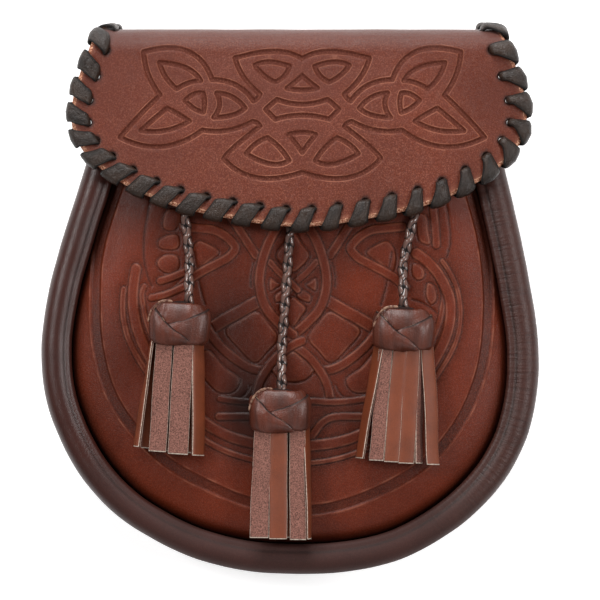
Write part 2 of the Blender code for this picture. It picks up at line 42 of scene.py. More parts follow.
# All shapes are worked out in millimetres in the pouch's own frame: x to the right, y up to the
# fold of the flap, z out of the front, and z = 0 on the outer face of the back. standing() leans
# them back on the strap loop and turns them into metres.


def arcLengths(path):
    # running sum of the lengths of the steps
    return np.r_[0.0, np.cumsum(np.linalg.norm(np.diff(path, axis=0), axis=1))]


def alongPath(path, wanted):
    # the path's columns read off at wanted distances along it
    along = arcLengths(path)
    return np.stack([np.interp(wanted, along, column) for column in path.T], axis=1)


def evenly(path, count):
    return alongPath(path, np.linspace(0.0, arcLengths(path)[-1], count))


def smoothCurve(knots, count=900):
    # cubic pieces between the knots, each with the slope of the parabola through three neighbours
    knots = np.asarray(knots, float)
    chord = arcLengths(knots)
    slope = np.gradient(knots, chord, axis=0, edge_order=2)
    at = np.linspace(0.0, chord[-1], 4 * count)
    k = np.clip(np.searchsorted(chord, at, side="right") - 1, 0, len(chord) - 2)
    span = (chord[k + 1] - chord[k])[:, None]
    u = (at - chord[k])[:, None] / span
    curve = (1 + 2 * u) * (1 - u) ** 2 * knots[k] + u * (1 - u) ** 2 * span * slope[k]
    curve += u**2 * (3 - 2 * u) * knots[k + 1] + u**2 * (u - 1) * span * slope[k + 1]
    return evenly(curve, count)


def unitSteps(path):
    # the direction of a path at each of its points
    along = np.gradient(path, axis=0)
    return along / np.linalg.norm(along, axis=1)[:, None]


def leftNormals(path):
    # the direction of a flat path, turned a quarter to the left
    along = unitSteps(path)
    return np.stack([-along[:, 1], along[:, 0]], axis=1)


def closed(loop):
    # a loop with its first point again at its end
    return np.vstack([loop, loop[:1]])


def averaged(path, reach):
    # running mean over a number of points each way, with the ends held
    padded = np.vstack([np.repeat(path[:1], reach, 0), path, np.repeat(path[-1:], reach, 0)])
    kernel = np.ones(2 * reach + 1) / (2 * reach + 1)
    return np.stack([np.convolve(column, kernel, "valid") for column in padded.T], axis=1)


def distanceTo(path, places, atOnce=4000):
    # least distance from each place to the straight pieces of a path, for some places at a time
    start, run = path[:-1], np.diff(path, axis=0)
    size = np.maximum((run**2).sum(axis=1), 1e-12)
    best = np.full(len(places), np.inf)
    for first in range(0, len(places), atOnce):
        some = slice(first, first + atOnce)
        offset = places[some, None, :] - start
        share = np.clip((offset * run).sum(axis=-1) / size, 0.0, 1.0)
        best[some] = np.linalg.norm(offset - share[..., None] * run, axis=-1).min(axis=1)
    return best


def nearDistance(path, places, reach):
    # the same, worked out only for places within reach of the path's own box
    low, high = path.min(axis=0) - reach, path.max(axis=0) + reach
    near = ((places > low) & (places < high)).all(axis=1)
    best = np.full(len(places), np.inf)
    best[near] = distanceTo(path, places[near])
    return best


def insideOf(loop, places):
    # even-odd rule: how many sides of the closed loop lie to the right of each place
    inside = np.zeros(len(places), bool)
    x, y = places.T
    for (x0, y0), (x1, y1) in zip(loop, np.roll(loop, -1, axis=0)):
        crosses = (y0 > y) != (y1 > y)
        inside ^= crosses & (x < (x1 - x0) * (y - y0) / (y1 - y0 + 1e-12) + x0)
    return inside


def smoothStep(value, low, high):
    u = np.clip((value - low) / (high - low), 0.0, 1.0)
    return u * u * (3 - 2 * u)


def bell(value, half):
    # one at nothing, falling off on both sides as exp(-(value / half) squared)
    return np.exp(-(value / half) ** 2)


def boxy(value, power):
    # the size of a value raised to a power and its sign kept: with a power under 1, a circle's cosine
    # and sine draw a box with round corners
    return np.sign(value) * np.abs(value) ** power


def turnsRound(count):
    # evenly spaced angles round a circle
    return np.arange(count) * 2 * math.pi / count


def circle(centre, radius, count):
    turn = turnsRound(count)
    return centre + radius * np.stack([np.cos(turn), np.sin(turn)], axis=1)


def ripple(places, size, seed, waves=9):
    # a soft unevenness, mostly from -1 to 1: the mean of a few sine waves about as long as size, in
    # random directions
    draw = np.random.default_rng(seed)
    turn = draw.uniform(0, 2 * math.pi, waves)
    length = size * draw.uniform(0.6, 1.7, waves)
    phase = draw.uniform(0, 2 * math.pi, waves)
    wave = places[..., 0, None] * np.cos(turn) + places[..., 1, None] * np.sin(turn)
    return np.sin(wave * 2 * math.pi / length + phase).mean(axis=-1) * 1.8


body = {
    "backThickness": 2.4,
    "wall": 2.0,
    "panelThickness": 2.2,
    "pipingRadius": 5.5,
    "seamFoot": 36.0,  # piping's centre above the back, at the foot
    "seamTop": 20.0,  # the same at the mouth
    "top": 87.0,
    "backMargin": 3.5,
    "wallBulge": 1.2,
    "panelSink": 1.5,
    "panelCrown": 5.5,
    "panelTurn": 7.0,
    "panelSeat": 0.6,
    "gap": 0.3,
    "tilt": math.radians(3.3),
    "levelAt": 33.0,
    # outer edge of the piping: y, left, right
    "outline": (
        (90.0, -65.2, 69.2), (66.0, -72.4, 76.2), (48.0, -77.4, 80.8), (26.0, -84.3, 86.0),
        (4.0, -90.4, 90.4), (-19.0, -93.4, 93.4), (-38.0, -91.6, 92.4), (-53.0, -86.3, 88.6),
        (-68.0, -77.6, 80.7), (-80.5, -66.0, 69.5), (-90.5, -51.0, 56.0), (-98.0, -34.0, 41.0),
        (-102.3, -15.0, 22.0),
    ),
    "foot": (3.6, -103.3),
    "outlinePoints": 1200,
}

outlineRows = np.array(body["outline"])
outline = smoothCurve(np.vstack([outlineRows[:, [1, 0]], [body["foot"]], outlineRows[::-1][:, [2, 0]]]),
                      body["outlinePoints"])
outlineNormals = leftNormals(outline)


def insetOutline(distance, top=body["top"]):
    # the outline moved inwards and cut off at the top of the body
    path = outline + distance * outlineNormals
    return path[path[:, 1] <= top]


leanFoot = -insetOutline(body["backMargin"])[:, 1].min()


def standing(points):
    # turns about x by the tilt, then lifts the foot to the ground: millimetres to metres
    c, s = math.cos(body["tilt"]), math.sin(body["tilt"])
    x, y, z = np.moveaxis(np.asarray(points, float), -1, 0)
    leant = [x, y * c - z * s + body["levelAt"] * s, y * s + z * c + leanFoot * s]
    return np.stack(leant, axis=-1) / 1000


pipingFoot = outline[:, 1].min() + body["pipingRadius"]


def seamHeight(y):
    # height of the piping's centre: straight from the foot to the mouth
    fall = body["seamTop"] - body["seamFoot"]
    return body["seamFoot"] + fall * (y - pipingFoot) / (body["top"] - pipingFoot)


seamSlope = math.atan((body["seamFoot"] - body["seamTop"]) / (body["top"] - pipingFoot))
panelEdge = insetOutline(2 * body["pipingRadius"] + body["panelSeat"], body["top"] - 1)
panelGuide = panelEdge[::6]  # every sixth point is enough to measure from


def panelHeight(places):
    # leaves its sunk edge steeply and levels off: crown times one minus exp(-distance / turn)
    edge = distanceTo(panelGuide, places)
    rise = (body["panelSink"] + body["panelCrown"]) * (1 - np.exp(-edge / body["panelTurn"]))
    return seamHeight(places[:, 1]) - body["panelSink"] + rise


def panelPoint(x, y):
    return float(panelHeight(np.array([[x, y]], float))[0])


flap = {
    "x": 3.4,
    "thickness": 2.5,
    "crest": 100.8,
    "foldRadius": 9.5,
    "leg": 24.0,
    "clearance": 8.2,
    "bulge": 5.6,
    "bulgeHalfWidth": 86.0,
    "tip": 83.4,
    # right half of the flat pattern: a across, b along from the crest of the fold
    "pattern": (
        (12.0, 82.6), (24.0, 80.7), (36.0, 78.4), (48.0, 75.3), (60.0, 70.4), (71.2, 64.0),
        (79.8, 56.4), (84.6, 47.2), (84.7, 37.0), (82.2, 27.0), (78.6, 17.0), (75.8, 8.0),
        (74.6, 0.0), (74.0, -12.0), (72.5, -26.0), (70.0, -44.0),
    ),
    "sectionPoints": 4000,
    "edgePoints": 1200,
}
legHeight = -body["gap"] - flap["thickness"] / 2
bendY = flap["crest"] - flap["thickness"] / 2 - flap["foldRadius"]
frontHeading = math.pi - seamSlope
frontBend = flap["foldRadius"] * (frontHeading - math.pi / 2)
backBend = flap["foldRadius"] * math.pi / 2
flapWall = (seamHeight(bendY) + flap["clearance"] - legHeight - flap["foldRadius"]
            - flap["foldRadius"] * math.sin(frontHeading - math.pi / 2))
frontStart = flapWall / 2 + frontBend
backStart = -flapWall / 2 - backBend

turns = np.array((
    (backStart - flap["leg"], 0.0), (backStart, 0.0), (-flapWall / 2, math.pi / 2),
    (flapWall / 2, math.pi / 2), (frontStart, frontHeading), (flap["tip"] + 5, frontHeading)))
sectionB = np.linspace(turns[0, 0], turns[-1, 0], flap["sectionPoints"])
heading = np.interp(sectionB, *turns.T)
heading = (heading[1:] + heading[:-1]) / 2
sectionY = np.r_[0.0, np.cumsum(np.cos(heading) * np.diff(sectionB))] + bendY - flap["leg"]
sectionZ = np.r_[0.0, np.cumsum(np.sin(heading) * np.diff(sectionB))] + legHeight


def flapMiddle(a, b):
    # the bent section, carried across, with a low bulge towards the middle of the lower edge
    down = np.clip((b - frontStart) / (flap["tip"] - frontStart), 0.0, 1.0)
    bulge = flap["bulge"] * (1 - (a / flap["bulgeHalfWidth"]) ** 2) * down * (2 - down)
    y, z = np.interp(b, sectionB, sectionY), np.interp(b, sectionB, sectionZ)
    return np.stack([flap["x"] + a, y, z + bulge], axis=-1)


def flapPlace(a, b, h):
    # the middle of the leather plus h along its normal, the cross product of two small steps
    step = 0.2
    across = flapMiddle(a + step, b) - flapMiddle(a - step, b)
    along = flapMiddle(a, b + step) - flapMiddle(a, b - step)
    normal = np.cross(along, across)
    normal /= np.linalg.norm(normal, axis=-1)[..., None]
    return flapMiddle(a, b) + np.asarray(h)[..., None] * normal


halfPattern = np.array(flap["pattern"])
flapEdge = smoothCurve(
    np.vstack([halfPattern[::-1] * (-1, 1), [(0.0, flap["tip"])], halfPattern]), flap["edgePoints"])
flapEdgeLengths = arcLengths(flapEdge)
flapEdgeOutward = leftNormals(flapEdge)


def edgePattern(s, o):
    # pattern place at distance s from the tip along the edge, and o outside it
    along = s + flapEdgeLengths[-1] / 2
    return [np.interp(along, flapEdgeLengths, flapEdge[:, k])
            + o * np.interp(along, flapEdgeLengths, flapEdgeOutward[:, k]) for k in (0, 1)]


def tubeFaces(rings, sides, scale=(1.0, 1.0)):
    # quads between neighbouring rings and sides and a flat cap at either end; uv runs along and round
    i, j = (k.ravel() for k in np.meshgrid(np.arange(rings - 1), np.arange(sides), indexing="ij"))
    places = [(i, j), (i, j + 1), (i + 1, j + 1), (i + 1, j)]
    corners = np.stack([np.stack(place, axis=1) for place in places], axis=1)
    quads = corners[..., 0] * sides + corners[..., 1] % sides
    caps = np.stack([np.arange(sides)[::-1], (rings - 1) * sides + np.arange(sides)])
    return [quads, caps], [corners / (rings - 1, sides) * scale, np.zeros((2, sides, 2))]


def flipped(faces):
    return [part[:, ::-1] for part in faces]


def volumeUnder(points, quads):
    # sum of the signed volumes between the points' middle and the faces: negative where they face in
    a, b, c, d = ((points - points.mean(axis=0))[quads[:, k]] for k in range(4))
    return (np.cross(a, b) * c).sum() + (np.cross(a, c) * d).sum()


def joinTubes(tubes, scale=(1.0, 1.0)):
    # each tube is a grid of points, ring by ring, with marks that fit the grid; the result is the
    # points, faces, uv and marks of one shape, with all faces outwards
    points, faces, uv = [], [], []
    marks = {mark: [] for mark in tubes[0][1]}
    first = 0
    for grid, own in tubes:
        flat = grid.reshape(-1, 3)
        made, corners = tubeFaces(*grid.shape[:2], scale)
        if volumeUnder(flat, made[0]) < 0:
            made, corners = flipped(made), flipped(corners)
        points.append(flat)
        faces += [part + first for part in made]
        uv += corners
        for mark, values in own.items():
            marks[mark].append(np.broadcast_to(values, grid.shape[:2]).ravel())
        first += len(flat)
    return np.vstack(points), faces, uv, {mark: np.concatenate(values) for mark, values in marks.items()}


def makePiece(name, shape, material, replaced=()):
    # one mesh from points, arrays of faces with equal numbers of corners, uv per corner, and marks
    points, faces, uv, marks = shape
    mesh = bpy.data.meshes.new(name)
    sizes = np.concatenate([np.full(len(part), part.shape[1]) for part in faces])
    loops = np.concatenate([part.ravel() for part in faces]).astype(np.int32)
    mesh.vertices.add(len(points))
    mesh.vertices.foreach_set("co", standing(points).astype(np.float32).ravel())
    mesh.loops.add(len(loops))
    mesh.loops.foreach_set("vertex_index", loops)
    mesh.polygons.add(len(sizes))
    mesh.polygons.foreach_set("loop_start", np.r_[0, np.cumsum(sizes)[:-1]].astype(np.int32))
    mesh.polygons.foreach_set("loop_total", sizes.astype(np.int32))
    mesh.update(calc_edges=True)
    flatUv = np.concatenate([part.reshape(-1, 2) for part in uv])
    mesh.uv_layers.new(name="UVMap").data.foreach_set("uv", flatUv.astype(np.float32).ravel())
    for mark, values in marks.items():
        attribute = mesh.attributes.new(mark, "FLOAT", "POINT")
        attribute.data.foreach_set("value", np.asarray(values, np.float32))
    mesh.validate()
    mesh.shade_smooth()
    mesh.materials.append(materials[material])
    piece = bpy.data.objects.new(name, mesh)
    scene.collection.objects.link(piece)
    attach(piece, "root")
    if replaced:
        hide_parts(*replaced)
    return piece


def hexPoints(low, high, step):
    # rows of points, every second row moved by half a step
    x, y = np.meshgrid(np.arange(low[0], high[0], step), np.arange(low[1], high[1], step * 0.866))
    return np.stack([x + (np.arange(len(x)) % 2)[:, None] * step / 2, y], axis=-1).reshape(-1, 2)


def closedRim(edge):
    # an open edge closed by a straight row of points
    return np.vstack([edge, evenly(np.array([edge[-1], edge[0]]), 90)[1:-1]])


def wellInside(places, rim, path, margin):
    # the places inside a rim that are farther than a margin from a path along it
    places = places[insideOf(rim, places)]
    return places[distanceTo(path, places) > margin]


def fromNearest(places, centres):
    # distance to the nearest of some centres
    return np.linalg.norm(places[:, None] - centres, axis=2).min(axis=1)


def loopArea(loop):
    # half the sum of the cross products of neighbours: positive for a loop to the left
    return (loop[:, 0] * np.roll(loop[:, 1], -1) - loop[:, 1] * np.roll(loop[:, 0], -1)).sum() / 2


def facesUp(points, faces):
    # whether the sum of the triangles' normals points up
    a, b, c = (points[faces[:, k]] for k in range(3))
    return np.cross(b - a, c - a)[:, 2].sum() > 0


def triangulate(loops, inner):
    # constrained Delaunay triangles between closed loops, the first one outside the others
    sizes = [len(loop) for loop in loops]
    starts = np.r_[0, np.cumsum(sizes)]
    edges = [(a + k, a + (k + 1) % n) for a, n in zip(starts, sizes) for k in range(n)]
    points = np.vstack([*loops, inner])
    made = delaunay_2d_cdt(points.tolist(), edges, [list(range(sizes[0]))], 1, 1e-7)
    # the fourth list names the point that each new one came from
    order = np.array([names[0] for names in made[3]])
    faces = order[np.array(made[2])]
    middles = points[faces].mean(axis=1)
    for loop in loops[1:]:
        centre = loop.mean(axis=0)
        radius = np.linalg.norm(loop - centre, axis=1).min()
        outside = np.linalg.norm(middles - centre, axis=1) > radius * 0.98
        faces, middles = faces[outside], middles[outside]
    return points, faces


farFromLines = 9.0  # mm, where a pressed line no longer shows


def makeSheet(name, loops, fine, coarse, place, thickness, material, relief, replaced):
    # Leather cut to flat loops: a fine outer face, a coarse inner one and a wall along each loop.
    # place(flat, h) puts a flat place h above the leather's outer face; relief(flat) gives the
    # height of the outer face and the marks that its material reads.
    top, topFaces = triangulate(loops, fine)
    under, underFaces = triangulate(loops, coarse)
    heights, marks = relief(top)
    rimCount = sum(len(loop) for loop in loops)
    topPoints = place(top, heights)
    points = np.vstack([topPoints, place(under, np.full(len(under), -thickness)),
                        place(top[:rimCount], np.full(rimCount, -thickness / 2))])
    up = facesUp(topPoints, topFaces)
    if not up:
        topFaces, underFaces = flipped([topFaces, underFaces])
    # the wall's rings: outer face, middle, inner face
    levels = (0, len(top) + len(under), len(top))
    walls = []
    first = 0
    for number, loop in enumerate(loops):
        k = first + np.arange(len(loop))
        n = np.roll(k, -1)
        ahead = ((loopArea(loop) > 0) == (number == 0)) == up
        for high, low in zip(levels, levels[1:]):
            wall = np.stack([k + high, k + low, n + low, n + high], axis=1)
            walls.append(wall if ahead else wall[:, ::-1])
        first += len(loop)
    flat = np.vstack([top, under, top[:rimCount]]) / 100
    faces = [topFaces, (underFaces + len(top))[:, ::-1], np.vstack(walls)]
    full = {}
    for mark, values in marks.items():
        away = farFromLines if mark == "line" else 0.0
        full[mark] = np.r_[values, np.full(len(under) + rimCount, away)]
    full["cut"] = np.r_[marks.get("cut", np.zeros(len(top))), np.zeros(len(under)), np.ones(rimCount)]
    full["inner"] = np.r_[np.zeros(len(top)), np.ones(len(under)), np.full(rimCount, 0.5)]
    shape = points, faces, [flat[part] for part in faces], full
    return makePiece(name, shape, material, replaced)


# A material or a group under construction: node() adds a node, and give() links a socket to an
# input or sets the input's own value.
class Shader:
    def __init__(self, tree):
        self.tree = tree

    def give(self, socket, value):
        if isinstance(value, bpy.types.NodeSocket):
            self.tree.links.new(value, socket)
        else:
            socket.default_value = value

    def node(self, kind, inputs=None, **settings):
        made = self.tree.nodes.new(kind)
        for name, value in settings.items():
            setattr(made, name, value)
        for name, value in (inputs or {}).items():
            self.give(made.inputs[name], value)
        return made

    def group(self, which, inputs):
        return self.node("ShaderNodeGroup", inputs, node_tree=groups[which]).outputs

    def math(self, operation, *values):
        made = self.node("ShaderNodeMath", operation=operation)
        for socket, value in zip(made.inputs, values):
            self.give(socket, value)
        return made.outputs[0]

    def plus(self, value, *others):
        for other in others:
            value = self.math("ADD", value, other)
        return value

    def times(self, value, *others):
        for other in others:
            value = self.math("MULTIPLY", value, other)
        return value

    def oneMinus(self, value):
        return self.math("SUBTRACT", 1.0, value)

    def atMostOne(self, value):
        return self.math("MINIMUM", value, 1.0)

    def spread(self, value, low, high, newLow=0.0, newHigh=1.0):
        made = self.node("ShaderNodeMapRange", {
            "Value": value, "From Min": low, "From Max": high, "To Min": newLow, "To Max": newHigh})
        return made.outputs["Result"]

    def mix(self, share, first, second, kind="Color"):
        # this node's sockets share their names between kinds, so they are found by identifier
        made = self.node("ShaderNodeMix", data_type="VECTOR" if kind == "Vector" else "RGBA")
        sockets = {socket.identifier: socket for socket in (*made.inputs, *made.outputs)}
        for name, value in (("Factor_Float", share), (f"A_{kind}", first), (f"B_{kind}", second)):
            self.give(sockets[name], value)
        return sockets[f"Result_{kind}"]

    def noise(self, vector, size, detail=3.0, roughness=0.55, distortion=0.0):
        made = self.node("ShaderNodeTexNoise", {
            "Vector": vector, "Scale": size, "Detail": detail, "Roughness": roughness,
            "Distortion": distortion})
        return made.outputs["Fac"]

    def stretched(self, vector, scale):
        return self.node("ShaderNodeVectorMath", {0: vector, 1: scale}, operation="MULTIPLY").outputs[0]

    def mark(self, name):
        # a piece without the mark gives nought
        return self.node("ShaderNodeAttribute", attribute_name=name).outputs["Fac"]

    def bump(self, principled, height, depth):
        made = self.node("ShaderNodeBump", {"Height": height, "Distance": depth})
        self.give(principled.inputs["Normal"], made.outputs["Normal"])


def newGroup(name, inputs, outputs):
    # an empty shader group with named sockets, and its two ends
    tree = bpy.data.node_groups.new(name, "ShaderNodeTree")
    kinds = {"value": "NodeSocketFloat", "colour": "NodeSocketColor", "vector": "NodeSocketVector"}
    for socket, (kind, default) in inputs.items():
        made = tree.interface.new_socket(name=socket, in_out="INPUT", socket_type=kinds[kind])
        if default is not None:
            made.default_value = default
    for socket, kind in outputs.items():
        tree.interface.new_socket(name=socket, in_out="OUTPUT", socket_type=kinds[kind])
    shader = Shader(tree)
    ends = shader.node("NodeGroupInput"), shader.node("NodeGroupOutput")
    return tree, shader, ends[0].outputs, ends[1].inputs


def buildGrainGroup():
    # leather grain: cells with soft edges over fine noise, and a slow cloudiness for the dye
    tree, g, given, out = newGroup(
        "leatherGrain",
        {"Vector": ("vector", None), "Cells": ("value", 900.0), "Clouds": ("value", 40.0)},
        {"Height": "value", "Clouds": "value", "Pores": "value"})
    warp = g.node("ShaderNodeTexNoise", {"Vector": given["Vector"], "Scale": 300.0, "Detail": 2.0})
    bent = g.mix(0.0015, given["Vector"], warp.outputs["Color"], "Vector")
    cells = g.node("ShaderNodeTexVoronoi", {"Vector": bent, "Scale": given["Cells"]},
                   feature="DISTANCE_TO_EDGE")
    pebble = g.spread(cells.outputs["Distance"], 0.0, 0.22)
    fine = g.noise(given["Vector"], 2600.0, 2.0)
    clouds = g.noise(given["Vector"], given["Clouds"], 5.0, 0.6, 0.6)
    g.give(out["Height"], g.plus(g.times(pebble, 0.7), g.times(fine, 0.5)))
    g.give(out["Clouds"], g.spread(clouds, 0.3, 0.7))
    g.give(out["Pores"], g.oneMinus(pebble))
    return tree


def buildToneGroup():
    # dye: base colour pulled to a darker tone by one mask and to a lighter one by another
    tree, g, given, out = newGroup(
        "dyedTone",
        {"Base": ("colour", None), "Deep": ("colour", None), "Pale": ("colour", None),
         "Deepen": ("value", 0.0), "Lighten": ("value", 0.0)},
        {"Color": "colour"})
    deep = g.mix(given["Deepen"], given["Base"], given["Deep"])
    g.give(out["Color"], g.mix(given["Lighten"], deep, given["Pale"]))
    return tree


def buildFibreGroup():
    # long fibres: noise stretched along the piece's own length
    tree, g, given, out = newGroup(
        "longFibres",
        {"Vector": ("vector", None), "Along": ("value", 8.0), "Across": ("value", 60.0)},
        {"Height": "value", "Streaks": "value"})
    scale = g.node("ShaderNodeCombineXYZ", {"X": given["Along"], "Y": given["Across"], "Z": 1.0})
    place = g.stretched(given["Vector"], scale.outputs[0])
    g.give(out["Height"], g.spread(g.noise(place, 1.0, 4.0, 0.6), 0.25, 0.75))
    g.give(out["Streaks"], g.spread(g.noise(place, 0.35, 2.0), 0.35, 0.65))
    return tree


groups = {"grain": buildGrainGroup(), "tone": buildToneGroup(), "fibres": buildFibreGroup()}


def colour(text):
    # an sRGB hex colour as linear light
    values = np.array([int(text[k:k + 2], 16) for k in (0, 2, 4)]) / 255
    linear = np.where(values <= 0.04045, values / 12.92, ((values + 0.055) / 1.055) ** 2.4)
    return (*linear.tolist(), 1.0)


def newMaterial(name, finish):
    # a material whose main shader has some of its inputs set
    made = bpy.data.materials.new(name)
    made.use_nodes = True
    principled = made.node_tree.nodes["Principled BSDF"]
    for socket, value in finish.items():
        principled.inputs[socket].default_value = value
    return made, Shader(made.node_tree), principled


# what all dyed leathers share: where each mask starts and ends, and how strongly it acts
sheetFinish = {
    "speckle": (0.46, 0.68),
    "patches": (0.38, 0.6),
    "fibre": (0.44, 0.66),
    "flesh": (0.3, 0.7),
    "cut": (0.3, 0.55),
    "inner": (0.6, 0.9),
    "sheenStretch": (90.0, 1500.0, 600.0),
    "sheenStreaks": (0.34, 0.66, 0.35, 1.0),
    "paintedHoleShadow": "120805",
    "wrinkleHighlight": 0.25,
    "mattRough": 0.34,
    "lineRough": 0.3,
    "cloudRough": 0.08,
    "cutRough": 0.35,
    "cutHeight": 3.0,
}


def dyedTone(s, look, deep, light):
    # the look's three tones, mixed by the two masks
    return s.group("tone", {
        "Base": colour(look["base"]), "Deep": colour(look["dark"]), "Pale": colour(look["pale"]),
        "Deepen": s.atMostOne(deep), "Lighten": light})["Color"]


def sheetLeather(name, look):
    # Smooth dyed leather: deeper in the pressed lines, with painted shade in the hollows, creases and holes
    # that its deep mark covers, cloudy, speckled by the light on its grain, raw where it is cut. A sheet
    # that carries "line", its distance in mm from the pressed lines, gets their dark floor and thin raised
    # lip from it, the lip pale with a painted highlight. A painted sheen and painted shade come in by their
    # own marks too.
    finish = sheetFinish
    made, s, principled = newMaterial(name, {"Specular IOR Level": look["specular"]})
    coordinates = s.node("ShaderNodeTexCoord").outputs
    place = coordinates["Object"]
    grain = s.group("grain", {"Vector": place, "Cells": look["cells"], "Clouds": look["clouds"]})
    deep = s.plus(s.times(grain["Clouds"], look["cloudiness"]), s.times(s.mark("deep"), look["pressed"]),
                  s.times(grain["Pores"], look["pores"]))
    speckle = s.spread(s.noise(place, look["speckle"], 3.0, 0.7), *finish["speckle"])
    # paler where the worn mark lies, as wear and painted highlight on raised edges, and with glints
    light = s.plus(s.times(s.mark("worn"), look["wearAndHighlight"]), s.times(speckle, look["sparkle"]))
    height = grain["Height"]
    if "line" in look:
        away = s.mark("line")
        floor = s.oneMinus(s.spread(away, *look["line"]))
        besideLip = s.math("ABSOLUTE", s.math("SUBTRACT", away, look["lipAt"]))
        lip = s.oneMinus(s.times(besideLip, 1 / look["lipHalf"]))
        patches = s.spread(s.noise(place, 90.0, 3.0, 0.7), *finish["patches"])
        lip = s.times(s.math("MAXIMUM", lip, 0.0), patches)
        deep = s.plus(deep, s.times(floor, look["lineDeep"]))
        # the lip's paleness is a painted highlight
        light = s.plus(light, s.times(lip, look["lipHighlight"]))
        height = s.plus(height, s.times(lip, look["lipHeight"]))
        matt = s.times(floor, finish["lineRough"])
    else:
        matt = s.times(s.mark("matt"), finish["mattRough"])
    if "wrinkles" in look:
        # uneven folds across a roll, where its mark asks for them, their ridges paler as a painted highlight
        along, across = look["wrinkles"]
        folds = s.group("fibres", {"Vector": coordinates["UV"], "Along": along, "Across": across})
        folded = s.times(folds["Height"], s.mark("wrinkled"))
        height = s.plus(height, s.times(folded, look["wrinkleHeight"]))
        light = s.plus(light, s.times(folded, finish["wrinkleHighlight"]))
    # darker where this mark asks: partly dye and partly painted shade
    shown = s.mix(s.mark("dyeAndPaintedShade"), dyedTone(s, look, deep, s.atMostOne(light)), colour(look["dark"]))
    if "paintedSheen" in look:
        # a painted greyish sheen in fine streaks across the sheet, standing in for the light glancing off the
        # flap's fold
        streaks = s.noise(s.stretched(place, finish["sheenStretch"]), 1.0, 4.0, 0.7)
        paintedSheen = s.times(s.mark("paintedSheen"), s.spread(streaks, *finish["sheenStreaks"]))
        shown = s.mix(paintedSheen, shown, colour(look["paintedSheen"]))
    # a painted near-black shadow inside the lacing holes
    shown = s.mix(s.mark("paintedHoleShadow"), shown, colour(finish["paintedHoleShadow"]))
    fibre = s.noise(place, 1500.0, 4.0, 0.75)
    raw = s.mix(s.spread(fibre, *finish["fibre"]), colour(look["rawDark"]), colour(look["rawPale"]))
    cut = s.spread(s.mark("cut"), *finish["cut"])
    shown = s.mix(cut, shown, raw)
    nap = s.spread(s.noise(place, 900.0, 4.0, 0.7), *finish["flesh"])
    flesh = s.mix(nap, colour(look["fleshDark"]), colour(look["fleshPale"]))
    shown = s.mix(s.spread(s.mark("inner"), *finish["inner"]), shown, flesh)
    s.give(principled.inputs["Base Color"], shown)
    rough = s.plus(look["roughness"], s.times(grain["Clouds"], finish["cloudRough"]),
                   s.times(cut, finish["cutRough"]), matt)
    s.give(principled.inputs["Roughness"], s.atMostOne(rough))
    s.bump(principled, s.plus(height, s.times(fibre, cut, finish["cutHeight"])), look["depth"])
    return made


def strapLeather(name, look):
    # leather cut in strips: fibres along the strip, a pale cut edge, dark and matt where its deep mark
    # puts painted shade
    made, s, principled = newMaterial(name, {
        "Specular IOR Level": look["specular"], "Coat Roughness": look["roughness"]})
    coordinates = s.node("ShaderNodeTexCoord").outputs
    grain = s.group("grain", {"Vector": coordinates["Object"], "Cells": look["cells"], "Clouds": 60.0})
    fibres = s.group("fibres", {
        "Vector": coordinates["UV"], "Along": look["along"], "Across": look["across"]})
    deep = s.mark("deep")
    darker = s.plus(s.times(fibres["Streaks"], look["streaks"]),
                    s.times(grain["Clouds"], look["cloudiness"]), deep)
    frayed = s.spread(s.noise(coordinates["Object"], 700.0, 3.0), 0.4, 0.62)
    edge = s.times(s.mark("cut"), frayed, look["edge"])
    s.give(principled.inputs["Base Color"], dyedTone(s, look, darker, edge))
    rough = s.plus(look["roughness"], s.times(fibres["Streaks"], 0.12), s.times(deep, 0.45))
    s.give(principled.inputs["Roughness"], rough)
    # the polish is on the high places only
    s.give(principled.inputs["Coat Weight"], s.times(s.oneMinus(deep), look["polish"]))
    height = s.plus(s.times(fibres["Height"], look["ridges"]), grain["Height"])
    s.bump(principled, height, look["depth"])
    return made


plainSheet = {"rawDark": "4a2418", "rawPale": "9a6a4c", "fleshDark": "4a2a1e", "fleshPale": "6a4434",
              "cells": 1100.0, "clouds": 26.0, "cloudiness": 0.4, "pressed": 0.6, "pores": 0.2,
              "wearAndHighlight": 0.4, "speckle": 1800.0, "sparkle": 0.15, "specular": 0.4, "depth": 0.00008}
